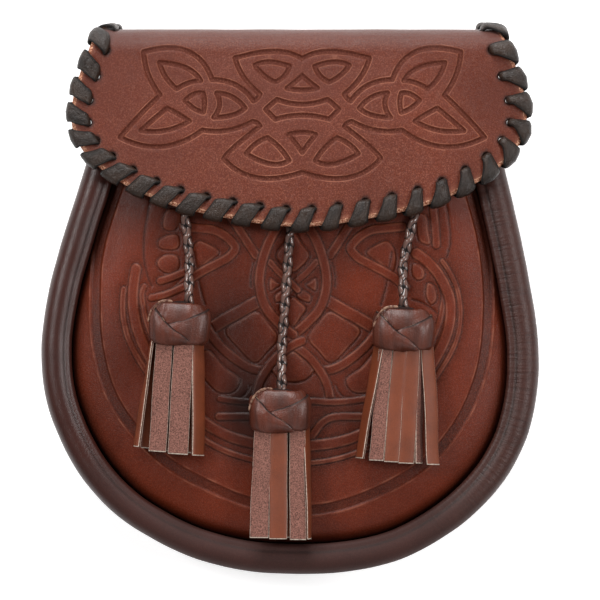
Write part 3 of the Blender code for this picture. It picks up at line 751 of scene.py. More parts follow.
# each look is the plain one with its own values
sheetLooks = {
    "flap": {"base": "63240d", "dark": "481706", "pale": "a86c54", "rawDark": "7c3c22", "rawPale": "f0bc9c",
             "fleshDark": "5a3020", "fleshPale": "7a4c38", "cells": 1700.0, "clouds": 24.0,
             "cloudiness": 0.45, "pressed": 0.8, "pores": 0.45, "wearAndHighlight": 0.3, "speckle": 1750.0,
             "sparkle": 0.3, "roughness": 0.38, "specular": 0.26, "depth": 0.00006, "paintedSheen": "5e4c49",
             "line": (0.5, 0.98), "lineDeep": 0.75, "lipAt": 1.14, "lipHalf": 0.24, "lipHighlight": 0.7,
             "lipHeight": 1.2},
    "panel": {"base": "6a2611", "dark": "180603", "pale": "905844", "rawPale": "8a5a40", "cells": 1400.0,
              "clouds": 22.0, "pores": 0.25, "wearAndHighlight": 0.6, "speckle": 1900.0, "sparkle": 0.17,
              "roughness": 0.34, "specular": 0.17, "depth": 0.00005},
    "back": {"base": "4a2014", "dark": "260e08", "pale": "6a3c2c", "roughness": 0.5},
    "gusset": {"base": "40190f", "dark": "1c0a06", "pale": "5c3022", "rawDark": "3a1c12", "rawPale": "8a5a40",
               "cells": 800.0, "clouds": 30.0, "cloudiness": 0.45, "pressed": 0.5, "pores": 0.25,
               "wearAndHighlight": 0.35, "speckle": 1500.0, "sparkle": 0.12, "roughness": 0.42, "specular": 0.45,
               "depth": 0.00012},
    "piping": {"base": "381711", "dark": "150806", "pale": "583a30", "rawDark": "2a1812", "rawPale": "4a3024",
               "fleshDark": "2c1c16", "fleshPale": "3c2820", "cells": 1300.0, "clouds": 35.0,
               "cloudiness": 0.35, "pressed": 0.75, "wearAndHighlight": 0.3, "sparkle": 0.14, "roughness": 0.31,
               "specular": 0.34, "depth": 0.00003, "wrinkles": (6.5, 1.1), "wrinkleHeight": 5.0},
    "loop": {"base": "461e12", "dark": "240e08", "pale": "643628", "roughness": 0.48},
}
strapLooks = {
    "thread": {"base": "5a3a24", "dark": "2c180e", "pale": "8a6a4c", "cells": 2500.0, "along": 12.0,
               "across": 3.0, "streaks": 0.5, "cloudiness": 0.3, "edge": 0.0, "roughness": 0.6,
               "specular": 0.3, "polish": 0.0, "ridges": 1.5, "depth": 0.00006},
    "lace": {"base": "33241b", "dark": "0f0906", "pale": "5a4a40", "cells": 1100.0, "along": 260.0,
             "across": 8.0, "streaks": 0.6, "cloudiness": 0.3, "edge": 0.0, "roughness": 0.3,
             "specular": 0.34, "polish": 0.03, "ridges": 2.4, "depth": 0.0001},
    "cord": {"base": "6c4f46", "dark": "120a08", "pale": "6a5048", "cells": 1500.0, "along": 14.0,
             "across": 9.0, "streaks": 0.4, "cloudiness": 0.2, "edge": 0.0, "roughness": 0.17,
             "specular": 0.2, "polish": 1.0, "ridges": 0.4, "depth": 0.00001},
    "knot": {"base": "602d1e", "dark": "200b05", "pale": "b08c74", "cells": 1100.0, "along": 14.0,
             "across": 6.0, "streaks": 0.45, "cloudiness": 0.35, "edge": 0.7, "roughness": 0.32,
             "specular": 0.28, "polish": 0.32, "ridges": 1.6, "depth": 0.00007},
}
materials = {name: sheetLeather(name + "Leather", {**plainSheet, **look})
             for name, look in sheetLooks.items()}
materials.update({name: strapLeather(name + "Leather", look) for name, look in strapLooks.items()})

fringeLook = {"grain": "783a20", "grainDark": "5c2c18", "flesh": "8c5e52", "fleshDark": "43271f",
              "cutPale": "d2c0b0", "cutDark": "4a2c20", "specular": 0.35, "depth": 0.0001,
              "grainRough": 0.45, "fleshRough": 0.85}


def fringeLeather(look):
    # one face of a strip is smooth grain, the other rough flesh, and its cut edges are pale
    made, s, principled = newMaterial("fringeLeather", {"Specular IOR Level": look["specular"]})
    place = s.node("ShaderNodeTexCoord").outputs["Object"]
    fine = s.noise(place, 2400.0, 4.0, 0.75)
    slow = s.noise(place, 150.0, 3.0)
    tone = s.plus(s.times(s.spread(slow, 0.3, 0.7), 0.5), s.times(s.spread(fine, 0.35, 0.65), 0.5))
    grain = s.mix(tone, colour(look["grain"]), colour(look["grainDark"]))
    nap = s.spread(s.noise(place, 2000.0, 3.0, 0.8), 0.36, 0.62)
    flesh = s.mix(nap, colour(look["fleshDark"]), colour(look["flesh"]))
    side = s.spread(s.mark("side"), 0.45, 0.55)
    # the middle of a cut face is dark, its two borders are pale and thin
    border = s.plus(s.mark("border"), s.times(s.noise(place, 1200.0, 3.0), 0.35))
    cut = s.mix(s.spread(border, 1.05, 1.2), colour(look["cutDark"]), colour(look["cutPale"]))
    shown = s.mix(s.spread(s.mark("cut"), 0.4, 0.6), s.mix(side, flesh, grain), cut)
    s.give(principled.inputs["Base Color"], shown)
    rough = s.spread(side, 0.0, 1.0, look["fleshRough"], look["grainRough"])
    s.give(principled.inputs["Roughness"], rough)
    s.bump(principled, fine, look["depth"])
    return made


def brass():
    made, s, principled = newMaterial("studBrass", {"Metallic": 1.0})
    place = s.node("ShaderNodeTexCoord").outputs["Object"]
    worn = s.spread(s.noise(place, 400.0, 4.0), 0.35, 0.7)
    s.give(principled.inputs["Base Color"], s.mix(worn, colour("c8a860"), colour("8a6a34")))
    s.give(principled.inputs["Roughness"], s.spread(worn, 0.0, 1.0, 0.25, 0.45))
    s.bump(principled, worn, 0.00003)
    return made


materials["fringe"] = fringeLeather(fringeLook)
materials["brass"] = brass()
print("materials made")


def throughMiddles(points, loop=True):
    # each side is the parabola from a corner through a middle place to the next corner
    points = np.array(points, float)
    corners, middles = points[0::2], points[1::2]
    after = np.roll(corners, -1, axis=0) if loop else corners[1:]
    t = np.linspace(0, 1, 13)[None, :, None]
    start, middle, end = corners[:len(after), None], middles[:len(after), None], after[:, None]
    side = (1 - t) * (1 - 2 * t) * start + 4 * t * (1 - t) * middle + t * (2 * t - 1) * end
    return np.vstack([side[:, :-1].reshape(-1, 2), side[-1, -1:]])


flapOrnament = {
    "axis": 1.17,
    "depth": 0.55,
    "halfWidth": 0.35,
    "fadeTo": 1.0,
    "shoulder": 0.13,
    # corner and middle of the side after it, in turn, left of the axis
    "sideIslands": (
        ((-53.3, 22.4), (-43.4, 24.3), (-37.9, 29.2), (-42.2, 29.9), (-46.8, 32.2), (-50.8, 28.0)),
        ((-50.4, 39.4), (-45.9, 41.8), (-42.0, 44.3), (-50.7, 47.7), (-60.2, 47.8), (-55.4, 43.6)),
        ((-43.7, 36.5), (-40.3, 34.1), (-37.0, 33.8), (-36.4, 37.2), (-36.9, 41.0), (-40.5, 39.4)),
        ((-31.9, 33.8), (-26.0, 35.3), (-21.3, 39.4), (-25.9, 42.0), (-32.9, 42.9), (-30.8, 38.3)),
        ((-17.6, 23.4), (-12.0, 22.2), (-4.7, 23.8), (-6.8, 27.5), (-10.1, 29.7), (-14.4, 27.1)),
        ((-12.9, 50.4), (-8.3, 54.3), (-4.9, 58.9), (-11.6, 60.2), (-20.8, 56.4), (-17.4, 52.8)),
    ),
    "middleIslands": (
        ((0.0, 27.3), (2.5, 29.5), (5.7, 32.0), (0.0, 32.7), (-5.7, 32.0), (-2.5, 29.5)),
        ((-5.1, 49.3), (0.0, 48.5), (5.1, 49.3), (2.7, 52.2), (0.0, 55.9), (-2.7, 52.2)),
        ((-13.6, 39.9), (-11.2, 37.7), (-9.4, 36.2), (0.0, 38.0), (9.4, 36.2), (11.3, 37.7),
         (13.6, 39.9), (11.8, 41.8), (10.0, 43.6), (0.0, 42.1), (-10.0, 43.6), (-11.8, 41.8)),
    ),
    "rim": (
        (0.0, 20.9), (-10.2, 18.2), (-25.1, 20.7), (-21.7, 28.0), (-15.7, 34.2), (-16.7, 35.7),
        (-18.1, 36.8), (-24.7, 30.8), (-33.6, 28.8), (-42.7, 18.2), (-59.3, 18.4), (-57.4, 27.0),
        (-53.0, 34.5), (-61.2, 42.7), (-67.9, 50.3), (-52.2, 53.8), (-37.1, 47.6), (-27.6, 47.7),
        (-18.5, 44.4), (-16.8, 45.0), (-15.7, 46.2), (-25.0, 53.7), (-29.2, 58.2), (-16.8, 65.3),
        (0.0, 63.3),
    ),
}


def flapStrokes():
    # islands and rim of the left half, the same mirrored, and the islands on the axis
    strokes = []
    for mirror in (1, -1):
        strokes += [throughMiddles(island) * (mirror, 1) for island in flapOrnament["sideIslands"]]
        strokes.append(throughMiddles(flapOrnament["rim"], loop=False) * (mirror, 1))
    strokes += [throughMiddles(island) for island in flapOrnament["middleIslands"]]
    return [stroke + (flapOrnament["axis"], 0) for stroke in strokes]


flapLines = flapStrokes()


def lineDistance(places, lines, reach=3.0):
    best = np.full(len(places), np.inf)
    for line in lines:
        best = np.minimum(best, nearDistance(line, places, reach))
    return best


view = {
    "centre": (0.00375, -0.00056),
    "height": 1.236,
    "focal": 192.0,
    "floor": 6.0,
}


def addCamera():
    data = bpy.data.cameras.new("camera")
    data.lens = view["focal"]
    data.sensor_width = 36.0
    data.clip_start, data.clip_end = 0.05, 20.0
    camera = bpy.data.objects.new("camera", data)
    camera.location = (*view["centre"], view["height"])
    scene.collection.objects.link(camera)
    scene.camera = camera


addCamera()

lacing = {
    "holes": 32,
    "pitch": 10.35,
    "inset": 6.4,
    "holeRadius": 1.1,
    "thickness": 1.0,
    "bendLift": 0.5,
    "ringsPerStitch": 56,
    "sides": 24,
    "seed": 11,
    "holeWidth": 2.7,
    # unevenness of the strip's place at the hole, at the edge, and of its width
    "jitter": (0.015, 0.02, 0.035),
    # along the edge: share of the pitch at the hole and at the edge, width there, curl
    "zones": (
        (-150, 0.16, 0.42, 6.0, 7.2, 0.25), (-105, 0.14, 0.43, 6.5, 7.2, 0.15),
        (-80, 0.24, 0.54, 6.9, 7.2, 0.05), (-45, 0.34, 0.60, 7.2, 7.2, 0.0),
        (-15, 0.32, 0.60, 7.0, 6.8, 0.05), (0, 0.24, 0.50, 6.4, 6.9, 0.25),
        (15, 0.12, 0.38, 5.6, 7.0, 0.5), (60, 0.06, 0.32, 4.6, 7.8, 0.8),
        (105, 0.02, 0.27, 3.8, 9.2, 1.0), (150, 0.05, 0.32, 4.4, 8.4, 0.8),
    ),
    # o outside the edge, h above the middle, share from hole to edge, share of width
    "front": (
        (-6.3, 0.0, 0.0, 0.0), (-6.35, 0.75, 0.2, 0.5), (-6.15, 1.55, 0.6, 0.95), (-5.6, 2.15, 0.95, 1.0),
        (-4.4, 2.25, 1.15, 1.0), (-3.0, 2.2, 1.4, 1.0), (-1.3, 2.0, 1.7, 1.0), (0.1, 1.65, 1.95, 1.0),
        (0.95, 1.0, 2.0, 1.0), (1.35, 0.0, 2.05, 1.0),
    ),
    "behind": (
        (1.0, -1.25, 0.04, 1.0), (0.1, -1.95, 0.1, 1.0), (-1.6, -2.1, 0.35, 0.95),
        (-3.4, -2.15, 0.65, 0.85), (-5.2, -2.15, 0.9, 0.6), (-6.3, -1.2, 1.0, 0.1),
    ),
}
holePlaces = (np.arange(lacing["holes"]) - (lacing["holes"] - 1) / 2) * lacing["pitch"]
holeCentres = np.stack(edgePattern(holePlaces, -lacing["inset"]), axis=1)

flapSheet = {"rimStep": 0.9, "fine": 0.28, "coarse": 1.05, "under": 3.0, "fineReach": 1.45,
             "bevel": 1.6, "bevelDrop": 1.0, "unevenness": 0.12, "margin": 2.05, "underMargin": 1.5,
             "holeMargin": 1.0, "underHole": 2.6, "holeSides": 18, "holeRings": (0.25, 0.6),
             # rows of points along the edge, in mm from it
             "edgeRows": (0.35, 0.7, 1.05, 1.4, 1.75)}


def flapRelief(places):
    # pressed lines, the edge pared down to a raw slope, leather dipping into the lacing holes
    d = lineDistance(places, flapLines)
    groove = 1 - smoothStep(d, flapOrnament["halfWidth"], flapOrnament["fadeTo"])
    # the leather sinks a little beside each line, so the bands stand proud
    h = -flapOrnament["depth"] * groove - 0.12 * bell(d, 2.2)
    h += flapOrnament["shoulder"] * bell(d - 1.7, 0.75)
    rim = nearDistance(flapEdge, places, 4.0)
    rim = np.minimum(rim, np.abs(places[:, 1] - flapEdge[0, 1]))
    frayed = rim + 0.12 * ripple(places, 2.2, 4)
    h -= flapSheet["bevelDrop"] * np.clip(1 - frayed / flapSheet["bevel"], 0, 1.1) ** 1.3
    hole = fromNearest(places, holeCentres) - lacing["holeRadius"]
    h -= 0.5 * np.exp(-np.maximum(hole, 0) / 0.5)
    # the lace draws the leather in a little between hole and edge
    h -= 0.12 * bell(rim - 3.0, 2.2) * bell(hole, 4.0)
    h += flapSheet["unevenness"] * ripple(places, 26.0, 3) * smoothStep(rim, 0, 6)
    fold = 1 - smoothStep(places[:, 1], frontStart - 14, frontStart)
    # darker at random with cloudy dye, with painted shade at the fold under the painted sheen, and darker
    # towards both ends and above the ornament
    dyeAndPaintedShade = 0.25 * smoothStep(ripple(places, 40.0, 6), -0.3, 1.0) + 0.3 * fold
    dyeAndPaintedShade += 0.24 * smoothStep(np.abs(places[:, 0]), 42, 74) + 0.2 * (1 - smoothStep(places[:, 1], 24, 50))
    # painted shade round the lacing holes and a painted near-black shadow inside them, a pale line of wear
    # and painted highlight along the top of the bevel, and a painted sheen on the fold
    return h, {"deep": 0.9 * np.exp(-np.maximum(hole, 0) / 0.7),
               "worn": bell(rim - flapSheet["bevel"] - 0.2, 0.5),
               "line": np.minimum(d, farFromLines),
               "cut": 1 - smoothStep(frayed, flapSheet["bevel"] - 0.4, flapSheet["bevel"]),
               "paintedSheen": 0.85 * fold,
               "paintedHoleShadow": 0.95 * (1 - smoothStep(hole, 0.3, 1.0)),
               "dyeAndPaintedShade": np.clip(dyeAndPaintedShade, 0, 1)}


def makeFlap():
    edge = evenly(flapEdge, round(flapEdgeLengths[-1] / flapSheet["rimStep"]))
    rim = closedRim(edge)
    radius, sides = lacing["holeRadius"], flapSheet["holeSides"]
    holes = [circle(centre, radius, sides) for centre in holeCentres]
    low, high = rim.min(axis=0), rim.max(axis=0)
    near = hexPoints(low, high, flapSheet["fine"])
    near = near[lineDistance(near, flapLines) < flapSheet["fineReach"]]
    lattice = hexPoints(low, high, flapSheet["coarse"])
    lattice = lattice[lineDistance(lattice, flapLines) > flapSheet["fineReach"] + 0.2]
    inner = wellInside(np.vstack([near, lattice]), rim, rim[::2], flapSheet["margin"])
    inner = inner[fromNearest(inner, holeCentres) > radius + flapSheet["holeMargin"]]
    # rows along the edge and rings round the holes carry their slopes
    rows = [evenly(flapEdge - inset * flapEdgeOutward, 2 * len(edge) + number % 2)[6:-6]
            for number, inset in enumerate(flapSheet["edgeRows"])]
    rings = [circle(centre, radius + grow, sides)
             for centre in holeCentres for grow in flapSheet["holeRings"]]
    coarse = wellInside(hexPoints(low, high, flapSheet["under"]), rim, rim[::2], flapSheet["underMargin"])
    coarse = coarse[fromNearest(coarse, holeCentres) > flapSheet["underHole"]]

    def place(flat, h):
        return flapPlace(flat[:, 0], flat[:, 1], flap["thickness"] / 2 + h)

    return makeSheet("flap_leather", [rim, *holes], np.vstack([inner, *rows, *rings]), coarse, place,
                     flap["thickness"], "flap", flapRelief, ("flap",))


makeFlap()
print("flap made")


def lacePath():
    # middle line of the strip, stitch by stitch, as columns: place along the edge, place outside it,
    # height, width and curl; four draws a stitch, of which three are used
    draw = np.random.default_rng(lacing["seed"])
    zones = np.array(lacing["zones"], float)
    narrow = lacing["holeWidth"]
    knots = []
    for hole in holePlaces[:0:-1]:
        atHole, atEdge, wideHole, wideEdge, curl = (
            np.interp(hole, zones[:, 0], column) for column in zones[:, 1:].T)
        shifts = draw.normal(0, 1, 4)[:3] * lacing["jitter"]
        atHole += shifts[0]
        atEdge += shifts[1]
        for o, h, step, share in lacing["front"]:
            s = np.interp(step, (0, 1, 2, 2.05), (0, atHole, atEdge, atEdge + 0.01))
            full = np.interp(step, (0, 1, 2), (wideHole, wideHole, wideEdge)) * (1 + shifts[2])
            lift = 0.12 * curl * (step > 0.3)
            width = narrow + (full - narrow) * share
            knots.append((hole - s * lacing["pitch"], o, h + lift, width, curl * min(step, 1)))
        for o, h, step, share in lacing["behind"]:
            s = atEdge + (1 - atEdge) * step
            width = narrow + (wideEdge - narrow) * share
            knots.append((hole - s * lacing["pitch"], o, h, width, 0.0))
    knots.append((holePlaces[0], -6.5, 0.0, narrow, 0.0))
    return smoothCurve(knots, lacing["ringsPerStitch"] * (lacing["holes"] - 1))


def makeLacing():
    # one flat strip whipped round the edge: each ring is a flat rounded section, square to the
    # middle line
    path = lacePath()
    s, o, h, width, curl = path.T[..., None]
    step = np.gradient(path[:, 1:3], axis=0)
    step /= np.linalg.norm(step, axis=1)[:, None] + 1e-9
    turn = turnsRound(lacing["sides"])
    across = boxy(np.cos(turn), 0.3)
    above = boxy(np.sin(turn), 0.4) * lacing["thickness"] / 2
    # curled strips arch up in the middle and fold down at the side that lags
    arch = curl * (0.9 * (1 - across**2) - 0.35 - 0.25 * across) + 0.35 * (1 - across**2)
    ringS = s + across * width / 2
    # creases fan out from the hole: they cross the strip and fade towards the edge
    fan = np.stack(np.broadcast_arrays(ringS, 0.25 * o), axis=-1)
    wave = 0.14 * ripple(fan, 2.4, 5) * (1 - 0.5 * smoothStep(o, -4, 0))
    rise = above + arch + wave
    a, b = edgePattern(ringS, o - step[:, 1:2] * rise)
    ringH = h + step[:, 0:1] * rise
    bent = (np.abs(b) > flapWall / 2 - 2) & (b < frontStart + 3) & (b > backStart - 3)
    ringH = ringH + np.where(bent & (ringH > 0.9), lacing["bendLift"], 0.0)
    # painted shade at the strip's edges, where its rounded section turns from the light
    marks = {"cut": np.abs(across) > 0.93, "deep": smoothStep(np.abs(across), 0.8, 1.0)}
    return makePiece("flap_lace", joinTubes([(flapPlace(a, b, ringH), marks)], (1.0, 4.0)), "lace",
                     ("flap_lacing",))


makeLacing()
print("lacing made")

panelOrnament = {
    "axis": 1.13,
    # raised ribbons, painted in this order: later ones pass over earlier ones. Half width, height
    # and the places of the middle line on the right half; every ribbon is mirrored too.
    "ribbons": (
        ("crossing", 1.3, 0.3, ((8.6, 13.6), (5.3, 9.9), (1.5, 6.5), (-1.8, 3.2))),
        ("downLeft", 1.7, 0.35, ((24.6, 32.5), (20.2, 25.9), (16.9, 20.7), (13.9, 16.2))),
        ("crossBand", 2.4, 0.35, ((13.0, -1.1), (14.2, -1.7), (19.5, -4.7), (24.3, -7.3), (31.8, -12.0))),
        ("vesica", 1.9, 0.5, ((2.6, 30.8), (5.6, 27.0), (8.3, 22.6), (10.5, 17.3), (12.2, 10.6),
                              (12.6, 6.5),
                              (12.2, 2.6), (10.1, -3.5), (5.6, -8.8), (0.0, -13.6))),
        ("loop", 1.75, 0.4, ((41.0, 26.8), (36.0, 26.3), (28.6, 25.2), (23.6, 21.8), (21.6, 18.8),
                             (23.6, 15.9),
                             (28.4, 13.0), (33.4, 10.4), (38.0, 7.6), (42.0, 4.4))),
        ("lowerDiagonal", 1.8, 0.45, ((10.8, -27.0), (15.5, -26.1), (22.1, -22.2), (28.1, -16.8),
                                      (32.5, -10.3))),
        ("centreDown", 1.7, 0.45, ((-3.4, -15.8), (1.9, -18.5), (6.0, -21.8), (9.4, -25.9), (12.2, -30.7),
                                   (13.8, -36.7))),
        ("footBandA", 1.3, 0.3, ((0.0, -38.2), (7.1, -38.2), (13.9, -38.6), (21.3, -38.2), (27.3, -37.4))),
        ("footTurn", 1.5, 0.4, ((3.6, -56.5), (5.6, -53.1), (7.9, -50.1), (10.5, -46.7), (13.5, -44.7),
                                (17.6, -44.0), (22.8, -44.0), (27.7, -44.0))),
        ("innerThin", 1.1, 0.3, ((55.6, 4.5), (56.5, 2.0), (56.1, -2.4), (55.0, -8.0), (52.7, -14.4),
                                 (49.5, -20.5))),
    ),
    # the bands whose tops differ: 1 for the right side or -1 for the left comes first, and the
    # name of the foot they run on into
    "feet": {
        "none": (),
        "thin": ((59.3, -20.0), (55.0, -27.0), (49.0, -35.6), (41.5, -44.9), (31.8, -53.5), (19.8, -58.8),
                 (7.9, -61.1), (0.0, -61.4)),
        "broad": ((56.3, -16.6), (53.0, -22.9), (46.7, -31.9), (38.5, -41.5), (29.5, -48.6), (19.1, -52.9),
                  (7.9, -54.7), (0.0, -55.1)),
    },
    "sideRibbons": (
        (-1, 1.5, 0.4, "none", ((49.7, 6.5), (45.6, 7.8), (40.5, 9.9))),
        (-1, 1.4, 0.4, "none", ((53.0, 0.2), (47.5, 1.5), (41.0, 4.4))),
        (-1, 1.2, 0.4, "thin", ((63.4, 3.4), (63.8, -2.3), (63.4, -8.0), (62.3, -13.0))),
        (-1, 2.1, 0.5, "broad", ((58.8, 11.0), (59.6, 6.0), (60.0, 0.9), (59.6, -5.1), (58.4, -11.0))),
        (1, 1.6, 0.45, "none", ((52.0, 40.0), (52.6, 33.0), (53.4, 26.0), (53.7, 20.0))),
        (1, 1.0, 0.4, "thin", ((55.9, 13.9), (58.9, 9.4), (61.3, 4.1), (62.5, -1.2), (62.7, -7.2),
                               (62.0, -12.6))),
        (1, 2.1, 0.5, "broad", ((46.1, 16.9), (50.2, 13.9), (54.0, 9.7), (57.0, 4.5), (58.7, 0.0),
                                (59.1, -4.5),
                                (58.4, -10.5))),
    ),
    "sidePads": (
        (-1, ((43.2, 15.6), (48.9, 15.8), (50.9, 13.6), (49.8, 10.8), (46.6, 9.4), (43.2, 10.4))),
        (-1, ((43.0, 23.6), (48.0, 23.2), (50.4, 21.4), (50.2, 19.2), (47.0, 18.2), (43.0, 18.9))),
        (-1, ((42.3, 32.3), (46.6, 33.5), (48.6, 29.5), (48.4, 26.2), (44.8, 25.4), (42.3, 28.3))),
        (1, ((45.4, 13.1), (47.8, 12.2), (49.3, 9.8), (48.8, 7.6), (46.5, 6.9), (44.8, 8.6))),
        (1, ((50.5, 5.8), (52.3, 5.2), (53.7, 2.2), (53.5, -1.0), (51.7, -2.3), (50.2, -0.4), (49.8, 3.3))),
        (1, ((46.8, 32.0), (49.2, 31.5), (50.8, 25.0), (51.2, 20.2), (47.6, 21.2), (46.4, 26.0))),
    ),
    "sideLines": (
        (-1, ((52.8, 40.0), (54.6, 31.0), (55.9, 22.1), (55.5, 12.7), (52.9, 4.5))),
        (1, ((57.3, 36.0), (58.6, 28.0), (59.0, 21.0), (57.6, 15.4))),
        (1, ((44.6, -0.4), (51.4, -3.4), (54.4, -6.0))),
    ),
    # raised pads, their outlines in turn round each
    "pads": (
        ((27.6, 17.4), (31.0, 20.0), (35.6, 21.4), (37.8, 18.6), (38.4, 13.4), (37.2, 9.6), (32.0, 13.4)),
        ((5.6, -14.7), (9.0, -9.5), (13.5, -5.0), (19.8, -8.0), (25.1, -11.7), (20.2, -18.8), (13.8, -24.0),
         (9.7, -19.9)),
        ((0.0, 24.8), (3.2, 20.6), (6.2, 15.9), (3.6, 12.3), (0.0, 9.9), (-3.6, 12.3), (-6.2, 15.9),
         (-3.2, 20.6)),
        ((4.9, 5.0), (6.6, 6.4), (8.4, 7.6), (8.9, 5.2), (8.4, 2.8), (6.4, 4.0)),
        ((1.9, 3.5), (4.3, 2.8), (6.8, 0.6), (6.2, -1.3), (4.1, -0.9), (1.5, 0.9)),
        ((0.0, 0.6), (2.7, -1.3), (4.9, -3.9), (3.0, -6.9), (0.0, -10.6), (-3.0, -6.9), (-4.9, -3.9),
         (-2.7, -1.3)),
        ((0.0, -19.6), (3.8, -22.5), (7.9, -26.6), (5.6, -29.6), (0.0, -31.1), (-5.6, -29.6), (-7.9, -26.6),
         (-3.8, -22.5)),
        ((32.9, -19.2), (25.4, -25.9), (19.8, -30.7), (21.8, -34.4), (26.5, -35.3), (33.0, -30.0),
         (36.0, -24.0)),
    ),
    # plain pressed lines
    "lines": (
        ((16.1, -32.6), (17.2, -34.8), (19.5, -37.1)),
        ((14.6, 13.6), (15.7, 8.8), (15.7, 4.3)),
        ((37.0, 17.3), (35.9, 10.6), (34.8, 4.3), (32.9, -2.4)),
    ),
    "lineWidth": 0.5,
    "lineDepth": 0.3,
    # darker patches, partly dye and partly painted shade, as under the flap and beside the tassels: x, y,
    # half breadth, half height, strength
    "dyeAndPaintedShades": (
        (-16.0, -38.0, 13.0, 20.0, 0.95), (6.0, -34.0, 26.0, 20.0, 0.3), (-40.0, 50.0, 60.0, 10.0, 0.55),
        (40.0, 50.0, 60.0, 10.0, 0.55), (-22.0, -8.0, 15.0, 20.0, 0.7), (28.0, -42.0, 18.0, 10.0, 0.25),
        (-66.0, -28.0, 10.0, 18.0, 0.45), (-52.0, 32.0, 20.0, 14.0, 0.45), (10.0, 8.0, 10.0, 16.0, 0.3),
    ),
    "border": (
        (-68.1, 34.8), (-73.3, 15.7), (-74.1, 1.1), (-73.1, -17.1), (-67.3, -37.2), (-58.3, -50.2),
        (-46.7, -61.3),
        (-32.9, -69.1), (-17.9, -75.5), (-3.0, -78.5), (9.7, -78.7), (30.6, -72.5), (53.1, -58.0),
        (63.2, -44.8),
        (70.8, -25.8), (73.1, -6.7), (73.2, 3.0), (71.4, 20.1), (66.7, 38.5), (60.0, 56.0),
    ),
    "borderHalfWidth": 1.75,
    "borderDepth": 0.5,
}
panelSheet = {"rimStep": 1.3, "fine": 0.38, "coarse": 1.2, "under": 3.6, "fineReach": 1.1,
              "borderReach": 1.1, "unevenness": 0.22, "margin": 0.7, "underMargin": 1.5,
              "holeRadius": 3.2, "holeSides": 24, "holeMargin": 0.5, "underHole": 4.0, "fineTop": 56}


def onSide(points, side):
    # the right half's places, or the same left of the axis
    return np.array(points, float) * (side, 1) + (panelOrnament["axis"], 0)


def mirrored(points):
    return [onSide(points, side) for side in (1, -1)]


def openCurve(points):
    return smoothCurve(points, 60) if len(points) > 2 else evenly(points, 20)


def closedCurve(points):
    # smooth loop: the outline repeated twice, with the middle turn kept
    loop = smoothCurve(np.vstack([points] * 3 + [points[:1]]), 3 * 48)
    third = arcLengths(loop)[-1] / 3
    return alongPath(loop, np.linspace(third, 2 * third, 48))


panelBorder = smoothCurve([(-60.0, 56.0), *panelOrnament["border"]], 500) + (panelOrnament["axis"], 0)
panelRibbons = [(half, height, openCurve(path)) for name, half, height, line in panelOrnament["ribbons"]
                for path in mirrored(line)]
panelRibbons += [(half, height, openCurve(onSide(line + panelOrnament["feet"][foot], side)))
                 for side, half, height, foot, line in panelOrnament["sideRibbons"]]
panelPads = [closedCurve(loop) for pad in panelOrnament["pads"] for loop in mirrored(pad)]
panelPads += [closedCurve(onSide(pad, side)) for side, pad in panelOrnament["sidePads"]]
panelLines = [openCurve(line) for points in panelOrnament["lines"] for line in mirrored(points)]
panelLines += [openCurve(onSide(line, side)) for side, line in panelOrnament["sideLines"]]


padShape = {"reach": 4.0, "swell": 0.25, "swellOver": 0.9, "sink": 0.16, "sinkOver": 1.4,
            "groove": 0.24, "grooveAt": -0.2, "grooveHalf": 0.32, "wearHighlightAt": 0.55, "wearHighlightHalf": 0.3}
ribbonShape = {"reach": 4.0, "rise": 0.65, "flatness": 5, "sink": 0.2, "sinkOver": 1.5,
               "groove": 0.3, "grooveAt": 0.1, "grooveHalf": 0.3, "wearHighlightAt": -0.5, "wearHighlightHalf": 0.28}


def blend(old, new, share):
    return old * (1 - share) + new * share


def raisePads(ground, places):
    # pads swell inside their outlines; the ground sinks towards each one and meets it in a narrow line
    # darkened partly with painted shade, and their raised edges get a pale line of wear and painted highlight
    for loop in panelPads:
        d = nearDistance(loop, places, padShape["reach"])
        inside = insideOf(loop, places)
        signed = np.where(d < padShape["reach"], d, farFromLines) * np.where(inside, 1, -1)
        away = np.abs(signed)
        swell = np.where(inside, padShape["swell"] * (1 - np.exp(-away / padShape["swellOver"])), 0.0)
        sink = np.where(inside, 0.0, np.exp(-away / padShape["sinkOver"]))
        groove = bell(signed - padShape["grooveAt"], padShape["grooveHalf"])
        worn = bell(signed - padShape["wearHighlightAt"], padShape["wearHighlightHalf"])
        ground["h"] += swell - padShape["groove"] * groove - padShape["sink"] * sink
        ground["low"] = np.maximum(ground["low"], sink)
        ground["deep"] = np.maximum(ground["deep"], groove * 0.8)
        ground["worn"] = np.maximum(ground["worn"], worn * 0.7)


def raiseRibbons(ground, places):
    # each ribbon is a low arch, one minus a power of the share of its half width, with a groove along
    # either side darkened partly with painted shade and a pale line of wear and painted highlight inside
    # its edges, and wipes out what it passes over
    for half, height, path in panelRibbons:
        d = nearDistance(path, places, half + ribbonShape["reach"])
        arch = 1 - (np.minimum(d, half) / half) ** ribbonShape["flatness"]
        arch = np.where(d < half, ribbonShape["rise"] * height * arch, 0.0)
        groove = bell(d - half - ribbonShape["grooveAt"], ribbonShape["grooveHalf"])
        worn = bell(d - half - ribbonShape["wearHighlightAt"], ribbonShape["wearHighlightHalf"])
        sink = np.where(d > half, np.exp(-(d - half) / ribbonShape["sinkOver"]), 0.0)
        cover = 1 - smoothStep(d, half + 0.1, half + 0.6)
        ground["h"] = blend(ground["h"], arch - ribbonShape["groove"] * groove, cover)
        ground["h"] -= ribbonShape["sink"] * sink * (1 - cover)
        ground["low"] = np.maximum(ground["low"], sink) * (1 - cover)
        ground["deep"] = np.where(cover > 0, blend(ground["deep"], groove, cover),
                                  np.maximum(ground["deep"], groove))
        ground["worn"] = blend(ground["worn"], worn * 0.8, cover)


